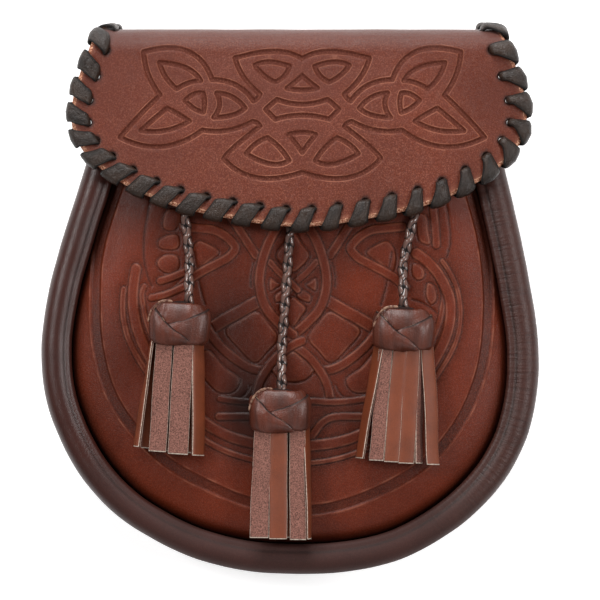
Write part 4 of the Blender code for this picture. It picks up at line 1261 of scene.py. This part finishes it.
def pressBorder(ground, places):
    # a wide flat trough with a raised lip, pale in places with wear and painted highlight
    d = nearDistance(panelBorder, places, 5.0)
    half = panelOrnament["borderHalfWidth"]
    trough = 1 - smoothStep(d, half - 0.3, half + 0.4)
    lip = bell(d - half - 0.55, 0.28)
    ground["h"] += -panelOrnament["borderDepth"] * trough + 0.14 * lip
    ground["deep"] = np.maximum(ground["deep"], trough * 0.5)
    worn = lip * 0.9 * smoothStep(ripple(places, 9.0, 12), -1.2, 0.4)
    ground["worn"] = np.maximum(ground["worn"], worn)


def panelRelief(places):
    # lines pressed in, pads, ribbons and border in turn, an uneven surface, and darker patches of dye and
    # painted shade
    cut = bell(lineDistance(places, panelLines), panelOrnament["lineWidth"])
    nothing = np.zeros(len(places))
    ground = {"h": -panelOrnament["lineDepth"] * cut, "deep": cut * 0.8, "worn": nothing, "low": nothing}
    raisePads(ground, places)
    raiseRibbons(ground, places)
    pressBorder(ground, places)
    edge = distanceTo(panelGuide, places)
    h = ground["h"] + panelSheet["unevenness"] * ripple(places, 34.0, 8) * smoothStep(edge, 2, 12)
    # painted shade where the panel sinks under the piping
    dyeAndPaintedShade = 0.8 * (1 - smoothStep(edge, 0.0, 5.0))
    for x, y, wide, high, strength in panelOrnament["dyeAndPaintedShades"]:
        away = ((places[:, 0] - x) / wide) ** 2 + ((places[:, 1] - y) / high) ** 2
        dyeAndPaintedShade = 1 - (1 - dyeAndPaintedShade) * (1 - strength * np.exp(-away))
    # painted shade on the ground sunk beside the pads and ribbons
    deep = np.maximum(ground["deep"], 0.6 * ground["low"])
    worn = ground["worn"] * (0.25 + 0.75 * smoothStep(ripple(places, 7.0, 13), -0.5, 0.5))
    return h, {"deep": np.clip(deep, 0, 1), "worn": worn, "dyeAndPaintedShade": dyeAndPaintedShade}


def panelNormals(places):
    # normal of the height field from small steps each way
    step = 0.3
    dx = (panelHeight(places + (step, 0)) - panelHeight(places - (step, 0))) / (2 * step)
    dy = (panelHeight(places + (0, step)) - panelHeight(places - (0, step))) / (2 * step)
    normal = np.stack([-dx, -dy, np.ones(len(places))], axis=1)
    return normal / np.linalg.norm(normal, axis=1)[:, None]


cordHoles = np.array([(-39.6, 45.4), (0.3, 38.4), (47.0, 43.4)])


def makePanel():
    rim = closedRim(evenly(panelEdge, round(arcLengths(panelEdge)[-1] / panelSheet["rimStep"])))
    radius = panelSheet["holeRadius"]
    holes = [circle(centre, radius, panelSheet["holeSides"]) for centre in cordHoles]
    low, high = rim.min(axis=0), rim.max(axis=0)
    strokes = [(path, half + panelSheet["fineReach"]) for half, _, path in panelRibbons]
    strokes += [(path, panelSheet["fineReach"]) for path in panelPads + panelLines]

    def close(places):
        border = nearDistance(panelBorder, places, 5.0) - panelOrnament["borderHalfWidth"]
        found = np.abs(border) < panelSheet["borderReach"]
        for path, reach in strokes:
            found |= nearDistance(path, places, 5.0) < reach
        return found & (places[:, 1] < panelSheet["fineTop"])

    near = hexPoints(low, high, panelSheet["fine"])
    lattice = hexPoints(low, high, panelSheet["coarse"])
    inner = np.vstack([near[close(near)], lattice[~close(lattice)]])
    inner = wellInside(inner, rim, rim, panelSheet["margin"])
    inner = inner[fromNearest(inner, cordHoles) > radius + panelSheet["holeMargin"]]
    coarse = wellInside(hexPoints(low, high, panelSheet["under"]), rim, rim, panelSheet["underMargin"])
    coarse = coarse[fromNearest(coarse, cordHoles) > panelSheet["underHole"]]

    def place(flat, h):
        ground = np.c_[flat, panelHeight(flat)]
        return ground + np.asarray(h)[:, None] * panelNormals(flat)

    return makeSheet("panel_leather", [rim, *holes], inner, coarse, place, body["panelThickness"],
                     "panel", panelRelief, ("front_panel",))


makePanel()
print("front panel made")

piping = {"rings": 1300, "sides": 64, "bead": 1.9, "beadPlace": (4.7, 2.3), "wrinkle": 0.05,
          "wrinkleStep": 2.1, "waviness": 0.08}


def makePiping():
    # A round roll carried along the seam, with a thin second roll on its inner side: the radius is
    # the farther of the two circles, less fine wrinkles across it.
    path = evenly(insetOutline(body["pipingRadius"]), piping["rings"])
    along = arcLengths(path)[:, None]
    part = along / along[-1]
    turn = turnsRound(piping["sides"])
    way = np.stack([np.cos(turn), np.sin(turn)], axis=1)
    # the thin roll stands out more towards the upper right
    share = 0.6 + 0.4 * smoothStep(part, 0.45, 0.8)
    place = np.array(piping["beadPlace"])
    towards = way @ place
    across = np.maximum(place @ place - towards**2, 0)
    bead = towards + np.sqrt(np.maximum(piping["bead"] ** 2 - across, 0))
    bead = np.where((across < piping["bead"] ** 2) & (towards > 0), bead, 0)
    radius = body["pipingRadius"] + share * np.maximum(bead - body["pipingRadius"], 0)
    # places on the roll's skin, along it and out and back round it, so that they meet at the seam
    skin = np.stack(np.broadcast_arrays(along, body["pipingRadius"] * np.sin(turn / 2)), axis=-1)
    wrinkled = 0.12 + 0.88 * smoothStep(part, 0.56, 0.68)
    # fine ridges across the roll in groups, and fewer deeper folds
    lines = 0.5 + 0.5 * np.sin(2 * math.pi * along / piping["wrinkleStep"] + 3.4 * ripple(skin, 7.0, 21))
    fold = lines**2 * smoothStep(ripple(skin, 9.0, 24), -0.6, 0.5)
    fold = (fold + 0.3 * np.abs(ripple(skin * (1.0, 0.8), 5.0, 26))) * wrinkled
    radius = radius - piping["wrinkle"] * fold - piping["waviness"] * ripple(skin, 14.0, 23)
    centre = np.c_[path, seamHeight(path[:, 1])][:, None]
    inward = np.c_[leftNormals(path), np.zeros(len(path))][:, None]
    points = centre + radius[..., None] * (way[None, :, 0:1] * inward + way[None, :, 1:2] * (0, 0, 1))
    # painted shade between the two rolls, in the wrinkles' folds and on the underside against the panel
    deep = 0.3 * fold + bell(turn - 0.95, 0.1) * share
    inner = bell(turn + 0.15, 0.4) + bell(turn - 2 * math.pi + 0.15, 0.4)
    matt = smoothStep(part, 0.3, 0.44) * (1 - 0.8 * smoothStep(part, 0.58, 0.7))
    marks = {"deep": np.clip(deep + inner, 0, 1), "matt": matt, "wrinkled": wrinkled}
    return makePiece("piping_roll", joinTubes([(points, marks)], (60.0, 4.0)), "piping",
                     ("front_piping",))


makePiping()

gusset = {"rings": 360, "rows": 26, "folds": 0.35, "cut": 0.3}


def makeGusset():
    # the wall from the back to the underside of the piping, bulged, with soft upright folds
    path = evenly(insetOutline(body["pipingRadius"]), gusset["rings"])
    outward = -leftNormals(path)
    v = np.linspace(0, 1, gusset["rows"])
    low = body["backThickness"] + body["gap"]
    high = seamHeight(path[:, 1]) - body["pipingRadius"] - body["gap"]
    z = low + (high - low)[:, None] * v
    grid = np.stack(np.broadcast_arrays(arcLengths(path)[:, None], z), axis=-1)
    fold = ripple(grid * (1.0, 0.25), 14.0, 31) * np.sin(math.pi * v)
    bulge = body["wallBulge"] * np.sin(math.pi * v) + gusset["folds"] * fold
    outer, inner = (
        np.dstack([path[:, None] + (bulge + side * body["wall"] / 2)[..., None] * outward[:, None], z])
        for side in (1, -1))
    ring = np.concatenate([outer, inner[:, ::-1]], axis=1)
    # the cut edges are the first and last row of either face
    cut = np.zeros(ring.shape[1])
    cut[[0, gusset["rows"] - 1, gusset["rows"], -1]] = gusset["cut"]
    # painted shade along the folds
    deep = 0.5 * np.abs(np.concatenate([fold, fold[:, ::-1]], axis=1))
    return makePiece("gusset_leather", joinTubes([(ring, {"deep": deep, "cut": cut})], (60.0, 2.0)),
                     "gusset", ("gusset",))


makeGusset()

back = {"rim": 420, "bevel": 0.5, "stitchInset": 4.0, "step": 3.0, "margin": 2.0, "sink": 0.12, "cut": 0.4}


def roundedPlate(loop, low, high, bevel):
    # levels of a closed loop: both faces' edges are rounded off by the bevel
    outward = -leftNormals(closed(loop))[:-1] * np.sign(loopArea(loop))
    levels = []
    for turn in np.radians((90, 60, 30, 0)):
        levels.append((bevel * (1 - math.cos(turn)), high - bevel * (1 - math.sin(turn))))
    levels += [(inset, low + high - z) for inset, z in levels[::-1]]
    return [np.c_[loop - inset * outward, np.full(len(loop), z)] for inset, z in levels]


def makeBack():
    # a plate with rounded edges, both faces sunk a little and unevenly
    loop = closedRim(evenly(insetOutline(body["backMargin"]), back["rim"]))
    rings = roundedPlate(loop, 0.0, body["backThickness"], back["bevel"])
    count = len(loop)
    lattice = hexPoints(loop.min(axis=0), loop.max(axis=0), back["step"])
    inner = wellInside(lattice, loop, closed(loop), back["margin"])
    plates = []
    for ring, inward in ((rings[0], -1), (rings[-1], 1)):
        flat, faces = triangulate([ring[:, :2]], inner)
        level = np.full(len(flat), ring[0, 2])
        level[count:] += back["sink"] * np.abs(ripple(flat[count:], 30.0, 41)) * inward
        plate = np.c_[flat, level]
        # the first plate faces up and the second one down
        plates.append((plate, faces if facesUp(plate, faces) == (inward < 0) else faces[:, ::-1]))
    (top, topFaces), (under, underFaces) = plates
    points = np.vstack([top, *rings[1:-1], under])
    starts = [0, *(len(top) + count * np.arange(len(rings) - 1))]
    k = np.arange(count)
    n = np.roll(k, -1)
    walls = np.vstack([np.stack([a + k, a + n, b + n, b + k], axis=1) for a, b in zip(starts, starts[1:])])
    faces = [topFaces, underFaces + starts[-1], walls[:, ::-1] if loopArea(loop) > 0 else walls]
    cut = np.zeros(len(points))
    cut[len(top):starts[-1]] = back["cut"]
    shape = points, faces, [points[part][..., :2] / 100 for part in faces], {"cut": cut}
    return makePiece("back_leather", shape, "back", ("back_panel",))


makeBack()
print("body made")

strapLoop = {"width": 80.0, "thickness": 2.2, "x": 1.5, "foot": 8.0, "flange": 6.0, "shoulder": 4.5,
             "band": 36.0, "rows": 150, "columns": 40, "cut": 0.5, "stitchInset": 2.2, "stitchEnd": 3.0}


def floorHeight(y):
    # height in the pouch's own frame of the ground under y
    s, c = math.sin(body["tilt"]), math.cos(body["tilt"])
    return -(leanFoot * s + y * s) / c


def makeStrapLoop():
    # a band bent out from the back: its middle line, smoothed a little, carried across
    half = strapLoop["thickness"] / 2
    flange = -body["gap"] - half
    bandFoot = strapLoop["foot"] + strapLoop["flange"] + strapLoop["shoulder"]
    bandTop = bandFoot + strapLoop["band"]
    upper = bandTop + strapLoop["shoulder"]
    lift = half / math.cos(body["tilt"])
    profile = np.array([
        (strapLoop["foot"], flange), (strapLoop["foot"] + strapLoop["flange"], flange),
        (bandFoot, floorHeight(bandFoot) + lift), (bandTop, floorHeight(bandTop) + lift),
        (upper, flange), (upper + strapLoop["flange"], flange)])
    line = averaged(evenly(profile, 2000), 40)
    line[:, 1] = np.maximum(line[:, 1], floorHeight(line[:, 0]) + lift)
    line[:, 1] = np.minimum(line[:, 1], flange)
    line = evenly(line, strapLoop["rows"])
    turn = turnsRound(strapLoop["columns"])
    across = boxy(np.cos(turn), 0.3)
    above = boxy(np.sin(turn), 0.3) * half
    yz = line[:, None] + above[None, :, None] * leftNormals(line)[:, None]
    x = strapLoop["x"] + across * strapLoop["width"] / 2
    points = np.dstack([np.broadcast_to(x, yz.shape[:2]), yz])
    marks = {"cut": (np.abs(across) > 0.985) * strapLoop["cut"]}
    return makePiece("strap_loop_leather", joinTubes([(points, marks)], (2.0, 2.0)), "loop",
                     ("back_strap_loop",))


makeStrapLoop()

stitching = {"length": 3.0, "spacing": 4.2, "radius": 0.34, "sink": 0.12, "dive": 0.3, "rings": 9, "sides": 8}


def makeStitches(name, runs):
    # short threads laid along flat runs of (path, height) under the pouch: each is a tube with
    # rounded ends that dives into the leather at both
    u = np.linspace(-1, 1, stitching["rings"])[:, None]
    turn = turnsRound(stitching["sides"])
    radius = stitching["radius"] * np.sqrt(np.clip(1 - u**6, 0.03, 1))
    threads = []
    for path, height in runs:
        z = height + stitching["sink"] + stitching["dive"] * u**2 - radius * np.sin(turn)
        count = int(arcLengths(path)[-1] / stitching["spacing"])
        middles = evenly(path, 2 * count + 1)[1::2]
        for middle, (x, y) in zip(middles, unitSteps(middles)):
            flat = (middle + (u * stitching["length"] / 2)[..., None] * (x, y)
                    + (radius * np.cos(turn))[..., None] * (-y, x))
            threads.append((np.dstack([flat, z]), {}))
    return makePiece(name, joinTubes(threads), "thread")


def sewBack():
    # round the back's margin and along both flanges of the strap loop
    face = -body["gap"] - strapLoop["thickness"]
    reach = strapLoop["width"] / 2 - strapLoop["stitchEnd"]
    upper = strapLoop["foot"] + strapLoop["flange"] + 2 * strapLoop["shoulder"] + strapLoop["band"]
    rows = [np.array([(strapLoop["x"] - reach, y), (strapLoop["x"] + reach, y)])
            for y in (strapLoop["foot"] + strapLoop["stitchInset"],
                      upper + strapLoop["flange"] - strapLoop["stitchInset"])]
    margin = insetOutline(body["backMargin"] + back["stitchInset"])
    makeStitches("back_stitches", [(margin, 0.0)])
    makeStitches("loop_stitches", [(row, face) for row in rows])


sewBack()
print("strap loop made")

# places in the pouch's frame: top of the knot, end of the fringe, hole of the cord, and x of the
# cord where it meets the knot; degrees that the weave is turned, and the seed of its unevenness
tassels = {
    "left": {"knot": (-40.4, -0.4), "skirt": (-43.9, -57.2), "hole": (-39.6, 46.0), "cordX": -37.6,
             "turn": 0.0, "seed": 51},
    "middle": {"knot": (-3.6, -32.6), "skirt": (-3.8, -89.0), "hole": (0.3, 39.0), "cordX": -3.0,
               "turn": 3.0, "seed": 71},
    "right": {"knot": (42.6, -2.4), "skirt": (40.2, -60.2), "hole": (47.0, 44.0), "cordX": 42.2,
              "turn": 6.0, "seed": 91},
}
cordShape = {"radius": 2.05, "bend": 4.0, "tail": 5.0, "inside": 3.4, "runStep": 9.0, "rise": 14.0,
             "pitch": 15.0, "lay": 1.12, "weave": 0.22, "sway": 0.3, "halfTurn": 1.35, "swell": 0.72,
             "core": 1.1, "seam": 0.26, "rings": 420, "sides": 64}
knotShape = {
    "lift": 6.8, "flatness": 0.56, "sunk": 2.3, "around": 120, "down": 60, "thickness": 1.15,
    "profile": ((0.0, 0.0), (7.0, 0.0), (10.2, -1.3), (11.5, -4.4), (11.7, -9.8), (11.2, -14.4), (9.8, -16.3),
                (0.0, -16.3)),
    "rings": 150, "sides": 30,
    # how much each column below counts when a strip is spaced evenly
    "weights": (0.1, 1, 1, 6, 1),
    # the strip under the others: degrees round the knot, upper and lower edge in mm down the knot's
    # outline from the middle of its top, outer face above the barrel, slant in degrees
    "under": (
        (-62, 7.5, 16.0, -0.9, -16), (-40, 7.0, 17.0, -0.95, -10), (-10, 6.6, 18.5, -1.0, 0),
        (30, 6.6, 17.0, -1.0, 0), (80, 6.8, 15.5, -1.1, 0), (150, 6.6, 16.0, -1.3, 0),
        (220, 6.6, 16.5, -1.3, 0), (280, 6.8, 16.0, -1.5, 0), (312, 7.4, 15.0, -1.9, 0),
    ),
    # the strip that comes up from under itself, goes round the side and down over the other one
    "over": (
        (-40, 19.2, 29.0, -1.6, 0), (-18, 18.0, 28.8, -1.1, 0), (10, 15.9, 28.4, -0.45, 0),
        (32, 14.0, 28.2, -0.3, 0),
        (60, 12.2, 28.0, -0.25, 0), (90, 11.2, 27.9, -0.2, 0), (115, 11.8, 28.0, 0.0, 0),
        (131, 13.1, 28.2, 0.15, 0),
        (158, 17.6, 29.0, 0.25, 0), (195, 23.7, 30.5, 0.1, 0), (216, 27.0, 32.0, -0.6, 0),
    ),
    # the loose end: degrees round the knot, mm down it, height; its rings and sides
    "loose": ((-22, 7.2, 0.1), (-44, 9.6, 0.75), (-60, 13.5, 0.95), (-72, 17.8, 1.1)),
    "looseEnd": (40, 10),
}
knotLength = 16.2


def tasselFrame(tassel):
    # origin at the top of the knot; own -y runs down the tassel, along the slope of the panel
    (knotX, knotY), (skirtX, skirtY) = tassel["knot"], tassel["skirt"]
    lean = math.atan2(skirtX - knotX, knotY - skirtY)
    origin = np.array([knotX, knotY, panelPoint(knotX, knotY) + knotShape["lift"]])
    c, s = math.cos(-seamSlope), math.sin(-seamSlope)
    tip = np.array([[1, 0, 0], [0, c, -s], [0, s, c]])
    c, s = math.cos(lean), math.sin(lean)
    return origin, tip @ np.array([[c, -s, 0], [s, c, 0], [0, 0, 1]])


def cordRoute(tassel, top):
    # from inside the pouch, out of its hole, down over the panel and up to the knot's top
    (holeX, holeY), cordX = tassel["hole"], tassel["cordX"]
    above = cordShape["radius"] + body["gap"]
    base = panelPoint(holeX, holeY) + above - cordShape["bend"]
    route = [(holeX, holeY, base - cordShape["tail"]), (holeX, holeY, base - cordShape["tail"] / 2)]
    for turn in np.radians((0, 30, 60, 90)):
        route.append((holeX, holeY - cordShape["bend"] * (1 - math.cos(turn)),
                      base + cordShape["bend"] * math.sin(turn)))
    endY = top[1] + 2 * body["gap"]
    run = np.array([(holeX, holeY - 2.5 * cordShape["bend"]), (cordX, endY + cordShape["rise"])])
    for x, y in evenly(run, round((run[0, 1] - run[1, 1]) / cordShape["runStep"]) + 1):
        route.append((x, y, panelPoint(x, y) + above))
    level = panelPoint(cordX, endY) + above
    for left in (0.66, 0.33, 0.12, 0.0):
        rise = (1 - left) ** 2 * (1 + 2 * left)
        route.append((cordX, endY + cordShape["rise"] * left, level + (top[2] - level) * rise))
    # its end is inside the knot
    route.append((cordX, endY - cordShape["inside"], top[2]))
    return smoothCurve(route)


def makeCord(name, route):
    # Skin of a round braid of four strands: two run round to the right and two to the left. A
    # strand's angle grows with the way down, a little faster where strands cross, every quarter
    # turn. Its distance from the middle falls from its own centre as a parabola, and is raised
    # where it lies over the others and lowered where it lies under, as one cosine of twice its
    # angle. The skin is the farthest strand, and the seams are where the two farthest are equal.
    path = evenly(route, cordShape["rings"])
    side = np.cross(unitSteps(path), (1.0, 0.0, 0.0))
    side /= np.linalg.norm(side, axis=1)[:, None]
    top = np.cross(side, unitSteps(path))
    phase = arcLengths(path) / cordShape["pitch"] * 2 * math.pi
    phase = phase + cordShape["sway"] / 4 * np.sin(4 * phase)
    turn = turnsRound(cordShape["sides"])
    heights, offsets = [], []
    for strand in range(4):
        way = 1 if strand % 2 else -1
        angle = (way * phase + (strand // 2) * math.pi)[:, None]
        away = (turn - angle + math.pi) % (2 * math.pi) - math.pi
        offsets.append(np.abs(away) / cordShape["halfTurn"])
        heights.append(cordShape["lay"] - way * cordShape["weave"] * np.cos(2 * angle)
                       + cordShape["swell"] * (1 - (away / cordShape["halfTurn"]) ** 2))
    second, first = np.sort(heights, axis=0)[-2:]
    radius = np.maximum(first, cordShape["core"])
    farthest = np.argmax(heights, axis=0)[None]
    offset = np.take_along_axis(np.array(offsets), farthest, axis=0)[0]
    # painted shade in the seams, at the strands' edges and down both sides of the cord, where it turns
    # away from the light
    deep = np.maximum(1 - (first - second) / cordShape["seam"], smoothStep(offset, 0.5, 0.95))
    deep = np.maximum(deep, 0.75 * smoothStep(np.abs(np.sin(turn)), 0.78, 1.0))
    points = path[:, None] + radius[..., None] * (
        np.cos(turn)[:, None] * side[:, None] + np.sin(turn)[:, None] * top[:, None])
    shape = joinTubes([(points, {"deep": np.clip(deep, 0, 1)})])
    piece = makePiece(f"braid_{name}", shape, "cord", (f"cord_{name}",))
    return piece, standing(evenly(path, 60))


knotLine = averaged(evenly(np.array(knotShape["profile"]), 400), 15)
knotLine[0, 0] = knotLine[-1, 0] = 0.0
knotLengths = arcLengths(knotLine)
knotOutward = leftNormals(knotLine) * np.sign(leftNormals(knotLine)[200, 0])


def knotPlace(turn, down, h):
    # on the flattened barrel: turn round it, down its outline from the top, h out along its normal
    radius, y = (np.interp(down, knotLengths, knotLine[:, k]) for k in (0, 1))
    out, rise = (np.interp(down, knotLengths, knotOutward[:, k]) * h for k in (0, 1))
    x = (radius + out) * boxy(np.sin(turn), 0.85)
    z = (radius * knotShape["flatness"] + out) * boxy(np.cos(turn), 0.7)
    return np.stack(np.broadcast_arrays(x, y + rise, z), axis=-1)


def knotStrip(rows, shift, seed):
    # One flat strip laid on the barrel. Each ring lies across the strip between its two edges, with
    # a rounded section, and is slanted by turning its ends round the knot.
    table = smoothCurve(np.array(rows, float) * knotShape["weights"], knotShape["rings"])
    turn, up, low, lift, slant = (table / knotShape["weights"]).T[..., None]
    angle = turnsRound(knotShape["sides"])
    across = boxy(np.cos(angle), 0.35)
    above = boxy(np.sin(angle), 0.5) * knotShape["thickness"] / 2
    down = (up + low) / 2 + across * (low - up) / 2
    where = np.radians(turn + shift) + np.radians(slant) * -across
    skin = np.stack(np.broadcast_arrays(np.radians(turn) * 9.0, down), axis=-1)
    fold = 0.26 * ripple(skin * (0.6, 1.0), 6.0, seed)
    fold = fold + 0.24 * np.abs(ripple(skin * (0.5, 1.0), 3.4, seed + 1))
    h = lift - knotShape["thickness"] / 2 + above + 0.3 * (1 - across**2) + fold
    points = knotPlace(where, np.clip(down, 0.5, knotLengths[-1] - 0.5), h)
    cut = (np.abs(across) > 0.985) * smoothStep(ripple(skin, 8.0, seed + 2), 0.2, 0.7)
    cut[[0, -1]] = 1.0
    # painted shade along the strip's edges, where it lies on the strip below
    return points, {"cut": cut, "deep": smoothStep(np.abs(across), 0.88, 0.99)}


def knotCore():
    # the barrel under the strips, sunk below them and painted dark all over as the shade between them
    down = np.linspace(0.8, knotLengths[-1] - 0.8, knotShape["down"])[:, None]
    sunk = knotShape["sunk"] * smoothStep(np.minimum(down, 34 - down), 0, 9)
    return knotPlace(turnsRound(knotShape["around"])[None], down, -sunk), {"cut": 0.0, "deep": 1.0}


def looseEnd(shift):
    # a short narrow strip end that leaves the weave at the upper left, thin at both of its ends
    count, sides = knotShape["looseEnd"]
    turn, down, h = smoothCurve(knotShape["loose"], count).T[..., None]
    angle = turnsRound(sides)
    tip = np.sqrt(np.clip(1 - np.linspace(-1, 1, count) ** 8, 0.02, 1))[:, None]
    points = knotPlace(np.radians(turn + shift) + 0.022 * np.cos(angle), down + 0.2 * np.cos(angle),
                       h - 0.5 + 0.5 * tip * np.sin(angle))
    return points, {"cut": 1.0, "deep": 0.0}


def makeKnot(name, origin, turnMatrix):
    shift, seed = tassels[name]["turn"], tassels[name]["seed"]
    strips = [knotStrip(knotShape["over"], shift + half, seed + 7 + half) for half in (0, 180)]
    tubes = [knotCore(), knotStrip(knotShape["under"], shift, seed), *strips, looseEnd(shift)]
    points, *rest = joinTubes(tubes, (3.0, 1.0))
    return makePiece(f"knot_{name}", (points @ turnMatrix.T + origin, *rest), "knot",
                     (f"tassel_knot_{name}",))


# Strips of each fringe: middle x at the knot and at the end, in mm from the tassel's own line, width,
# turn in degrees at the knot and at the end, height at the knot and at the end, 1 for grain out,
# length beyond the knot.
fringes = {
    "left": (
        (-9.7, -13.0, 6.6, 84, 72, 0.5, 1.0, 1, 39.0),
        (-5.0, -5.3, 6.4, 5, 4, 3.2, 2.6, 0, 40.3),
        (1.9, 2.4, 7.4, 0, -2, 3.8, 3.2, 0, 40.8),
        (7.0, 9.8, 6.6, -48, -50, 1.4, 1.2, 1, 40.9),
        (-6.5, -8.6, 6.4, 8, 14, -2.2, -3.0, 1, 39.4),
        (0.5, -0.8, 6.6, 0, -6, -2.4, -3.4, 0, 40.0),
        (5.6, 6.6, 6.6, -4, 5, -2.2, -3.2, 1, 40.2),
    ),
    "middle": (
        (-6.2, -7.6, 6.9, 10, 6, 2.8, 2.6, 0, 39.5),
        (-0.3, -0.6, 6.6, 0, 3, 3.8, 3.2, 1, 39.9),
        (6.3, 6.8, 6.0, -6, -4, 3.0, 2.6, 0, 40.2),
        (9.6, 10.8, 6.6, -70, -78, 0.2, 0.2, 1, 40.0),
        (-6.4, -6.0, 6.6, 4, -4, -2.2, -3.0, 0, 39.2),
        (0.6, 1.4, 6.6, 0, 6, -2.4, -3.4, 1, 39.6),
        (6.2, 7.4, 6.4, -6, -10, -2.2, -3.0, 0, 39.4),
    ),
    "right": (
        (-8.6, -14.2, 6.6, 58, 68, 0.4, 0.6, 1, 41.0),
        (-6.0, -8.2, 5.4, 14, 10, 3.0, 2.4, 0, 41.6),
        (-1.0, -2.6, 5.4, 2, 2, 3.7, 3.0, 1, 41.9),
        (3.6, 2.9, 5.7, -2, -2, 3.7, 3.1, 1, 42.2),
        (6.2, 7.4, 6.2, -62, -66, 1.2, 0.6, 0, 42.0),
        (9.0, 12.9, 5.6, -26, -32, 1.2, 1.2, 1, 42.3),
        (-4.6, -7.4, 6.4, 8, 12, -2.2, -3.2, 0, 41.0),
        (3.4, 4.6, 6.4, -4, -8, -2.4, -3.4, 0, 41.6),
    ),
}
stripShape = {"thickness": 1.0, "rings": 60, "bevel": 0.2, "start": 1.6, "cup": 0.25,
              "across": (-1, -0.6, -0.2, 0.2, 0.6, 1)}


def fringeStrip(number, x0, x1, width, turn0, turn1, z0, z1, grain, length):
    # One flat strip out of the knot's foot: each section is a thin rectangle with eased corners,
    # turned from one angle at the knot to another at the end. Half of the section is the grain face
    # and one edge, and the other half is the same turned over.
    half, ease, start = stripShape["thickness"] / 2, stripShape["bevel"], stripShape["start"]
    v = np.linspace(0, 1, stripShape["rings"])[:, None]
    wob = ripple(np.concatenate([v * 40, np.full_like(v, 7.0 * number)], axis=1), 26.0, 60 + number)[:, None]
    x = x0 + (x1 - x0) * v**0.9 + 0.18 * wob
    y = -knotLength + start - v * (length + start)
    z = z0 - 0.5 + (z1 - z0 + 0.5) * v + 0.25 * wob
    angle = np.radians(turn0 + (turn1 - turn0) * smoothStep(v, 0, 0.8)) + 0.03 * wob
    w = (width / 2) * (0.96 + 0.04 * smoothStep(v, 0.0, 0.35))
    face = w * stripShape["across"] - ease * np.array([-1, 0, 0, 0, 0, 1])
    across = np.concatenate([face, w * np.ones(3)], axis=1)
    across = np.concatenate([across, -across], axis=1)
    above = np.r_[np.full(6, half), half - ease, 0, ease - half]
    rise = np.r_[above, -above] + stripShape["cup"] * (1 - (across / w) ** 2)
    side = np.r_[np.ones(6), 1, 0.5, 0]
    side = np.r_[side, 1 - side] if grain else np.r_[1 - side, side]
    px = x + across * np.cos(angle) - rise * np.sin(angle)
    pz = z + across * np.sin(angle) + rise * np.cos(angle)
    # the edges are cut, and so is the end
    cut = np.tile(np.r_[np.zeros(6), np.ones(3)], (len(v), 2))
    cut[-1] = 1.0
    marks = {"side": side, "cut": cut, "border": np.tile(np.r_[np.ones(6), 1, 0, 1], 2)}
    return np.dstack([px, np.broadcast_to(y, px.shape), pz]), marks


def makeSkirt(name, origin, turnMatrix):
    strips = [fringeStrip(number, *strip) for number, strip in enumerate(fringes[name])]
    points, *rest = joinTubes(strips)
    return makePiece(f"fringe_{name}", (points @ turnMatrix.T + origin, *rest), "fringe",
                     (f"tassel_skirt_{name}",))


def makeTassels():
    for name, tassel in tassels.items():
        origin, turnMatrix = tasselFrame(tassel)
        cord, path = makeCord(name, cordRoute(tassel, origin))
        knot = makeKnot(name, origin, turnMatrix)
        skirt = makeSkirt(name, origin, turnMatrix)
        holeX, holeY = tassel["hole"]
        leaves = standing(np.array([holeX, holeY, panelPoint(holeX, holeY)]))
        float(arcLengths(path)[-1])


makeTassels()
print("tassels made")

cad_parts["flap_stud"].data.materials.clear()
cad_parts["flap_stud"].data.materials.append(materials["brass"])

room = {
    "floorColour": (0.93, 0.93, 0.93, 1.0),
    "floorGlow": 0.5,  # the white table is lit from below too, which softens the shadows on it
    "world": 0.27,
    # name, place, size, power; each looks at the middle
    "lights": (
        ("above", (-0.15, 1.35, 0.8), 0.9, 24.0),
        ("front", (0.1, -1.15, 0.95), 0.9, 2.5),
        ("left", (-0.85, 0.35, 1.15), 0.4, 8.5),
        ("right", (0.95, 0.1, 1.1), 0.5, 9.5),
    ),
}


def addRoom():
    mesh = bpy.data.meshes.new("floor")
    s = view["floor"]
    mesh.from_pydata([(-s, -s, 0), (s, -s, 0), (s, s, 0), (-s, s, 0)], [], [(0, 1, 2, 3)])
    floor = bpy.data.objects.new("floor", mesh)
    made, _, _ = newMaterial("paleFloor", {
        "Roughness": 0.9, "Base Color": room["floorColour"], "Emission Color": room["floorColour"],
        "Emission Strength": room["floorGlow"]})
    mesh.materials.append(made)
    scene.collection.objects.link(floor)
    world = bpy.data.worlds.new("studio")
    world.use_nodes = True
    world.node_tree.nodes["Background"].inputs["Strength"].default_value = room["world"]
    world.node_tree.nodes["Background"].inputs["Color"].default_value = (1.0, 1.0, 1.0, 1.0)
    scene.world = world
    for name, place, size, power in room["lights"]:
        data = bpy.data.lights.new(name, "AREA")
        data.shape = "SQUARE"
        data.size = size
        data.energy = power
        lamp = bpy.data.objects.new(name, data)
        lamp.location = place
        lamp.rotation_mode = "QUATERNION"
        lamp.rotation_quaternion = (-lamp.location).to_track_quat("-Z", "Y")
        scene.collection.objects.link(lamp)
    scene.view_settings.view_transform = "Standard"


addRoom()
print("room made")
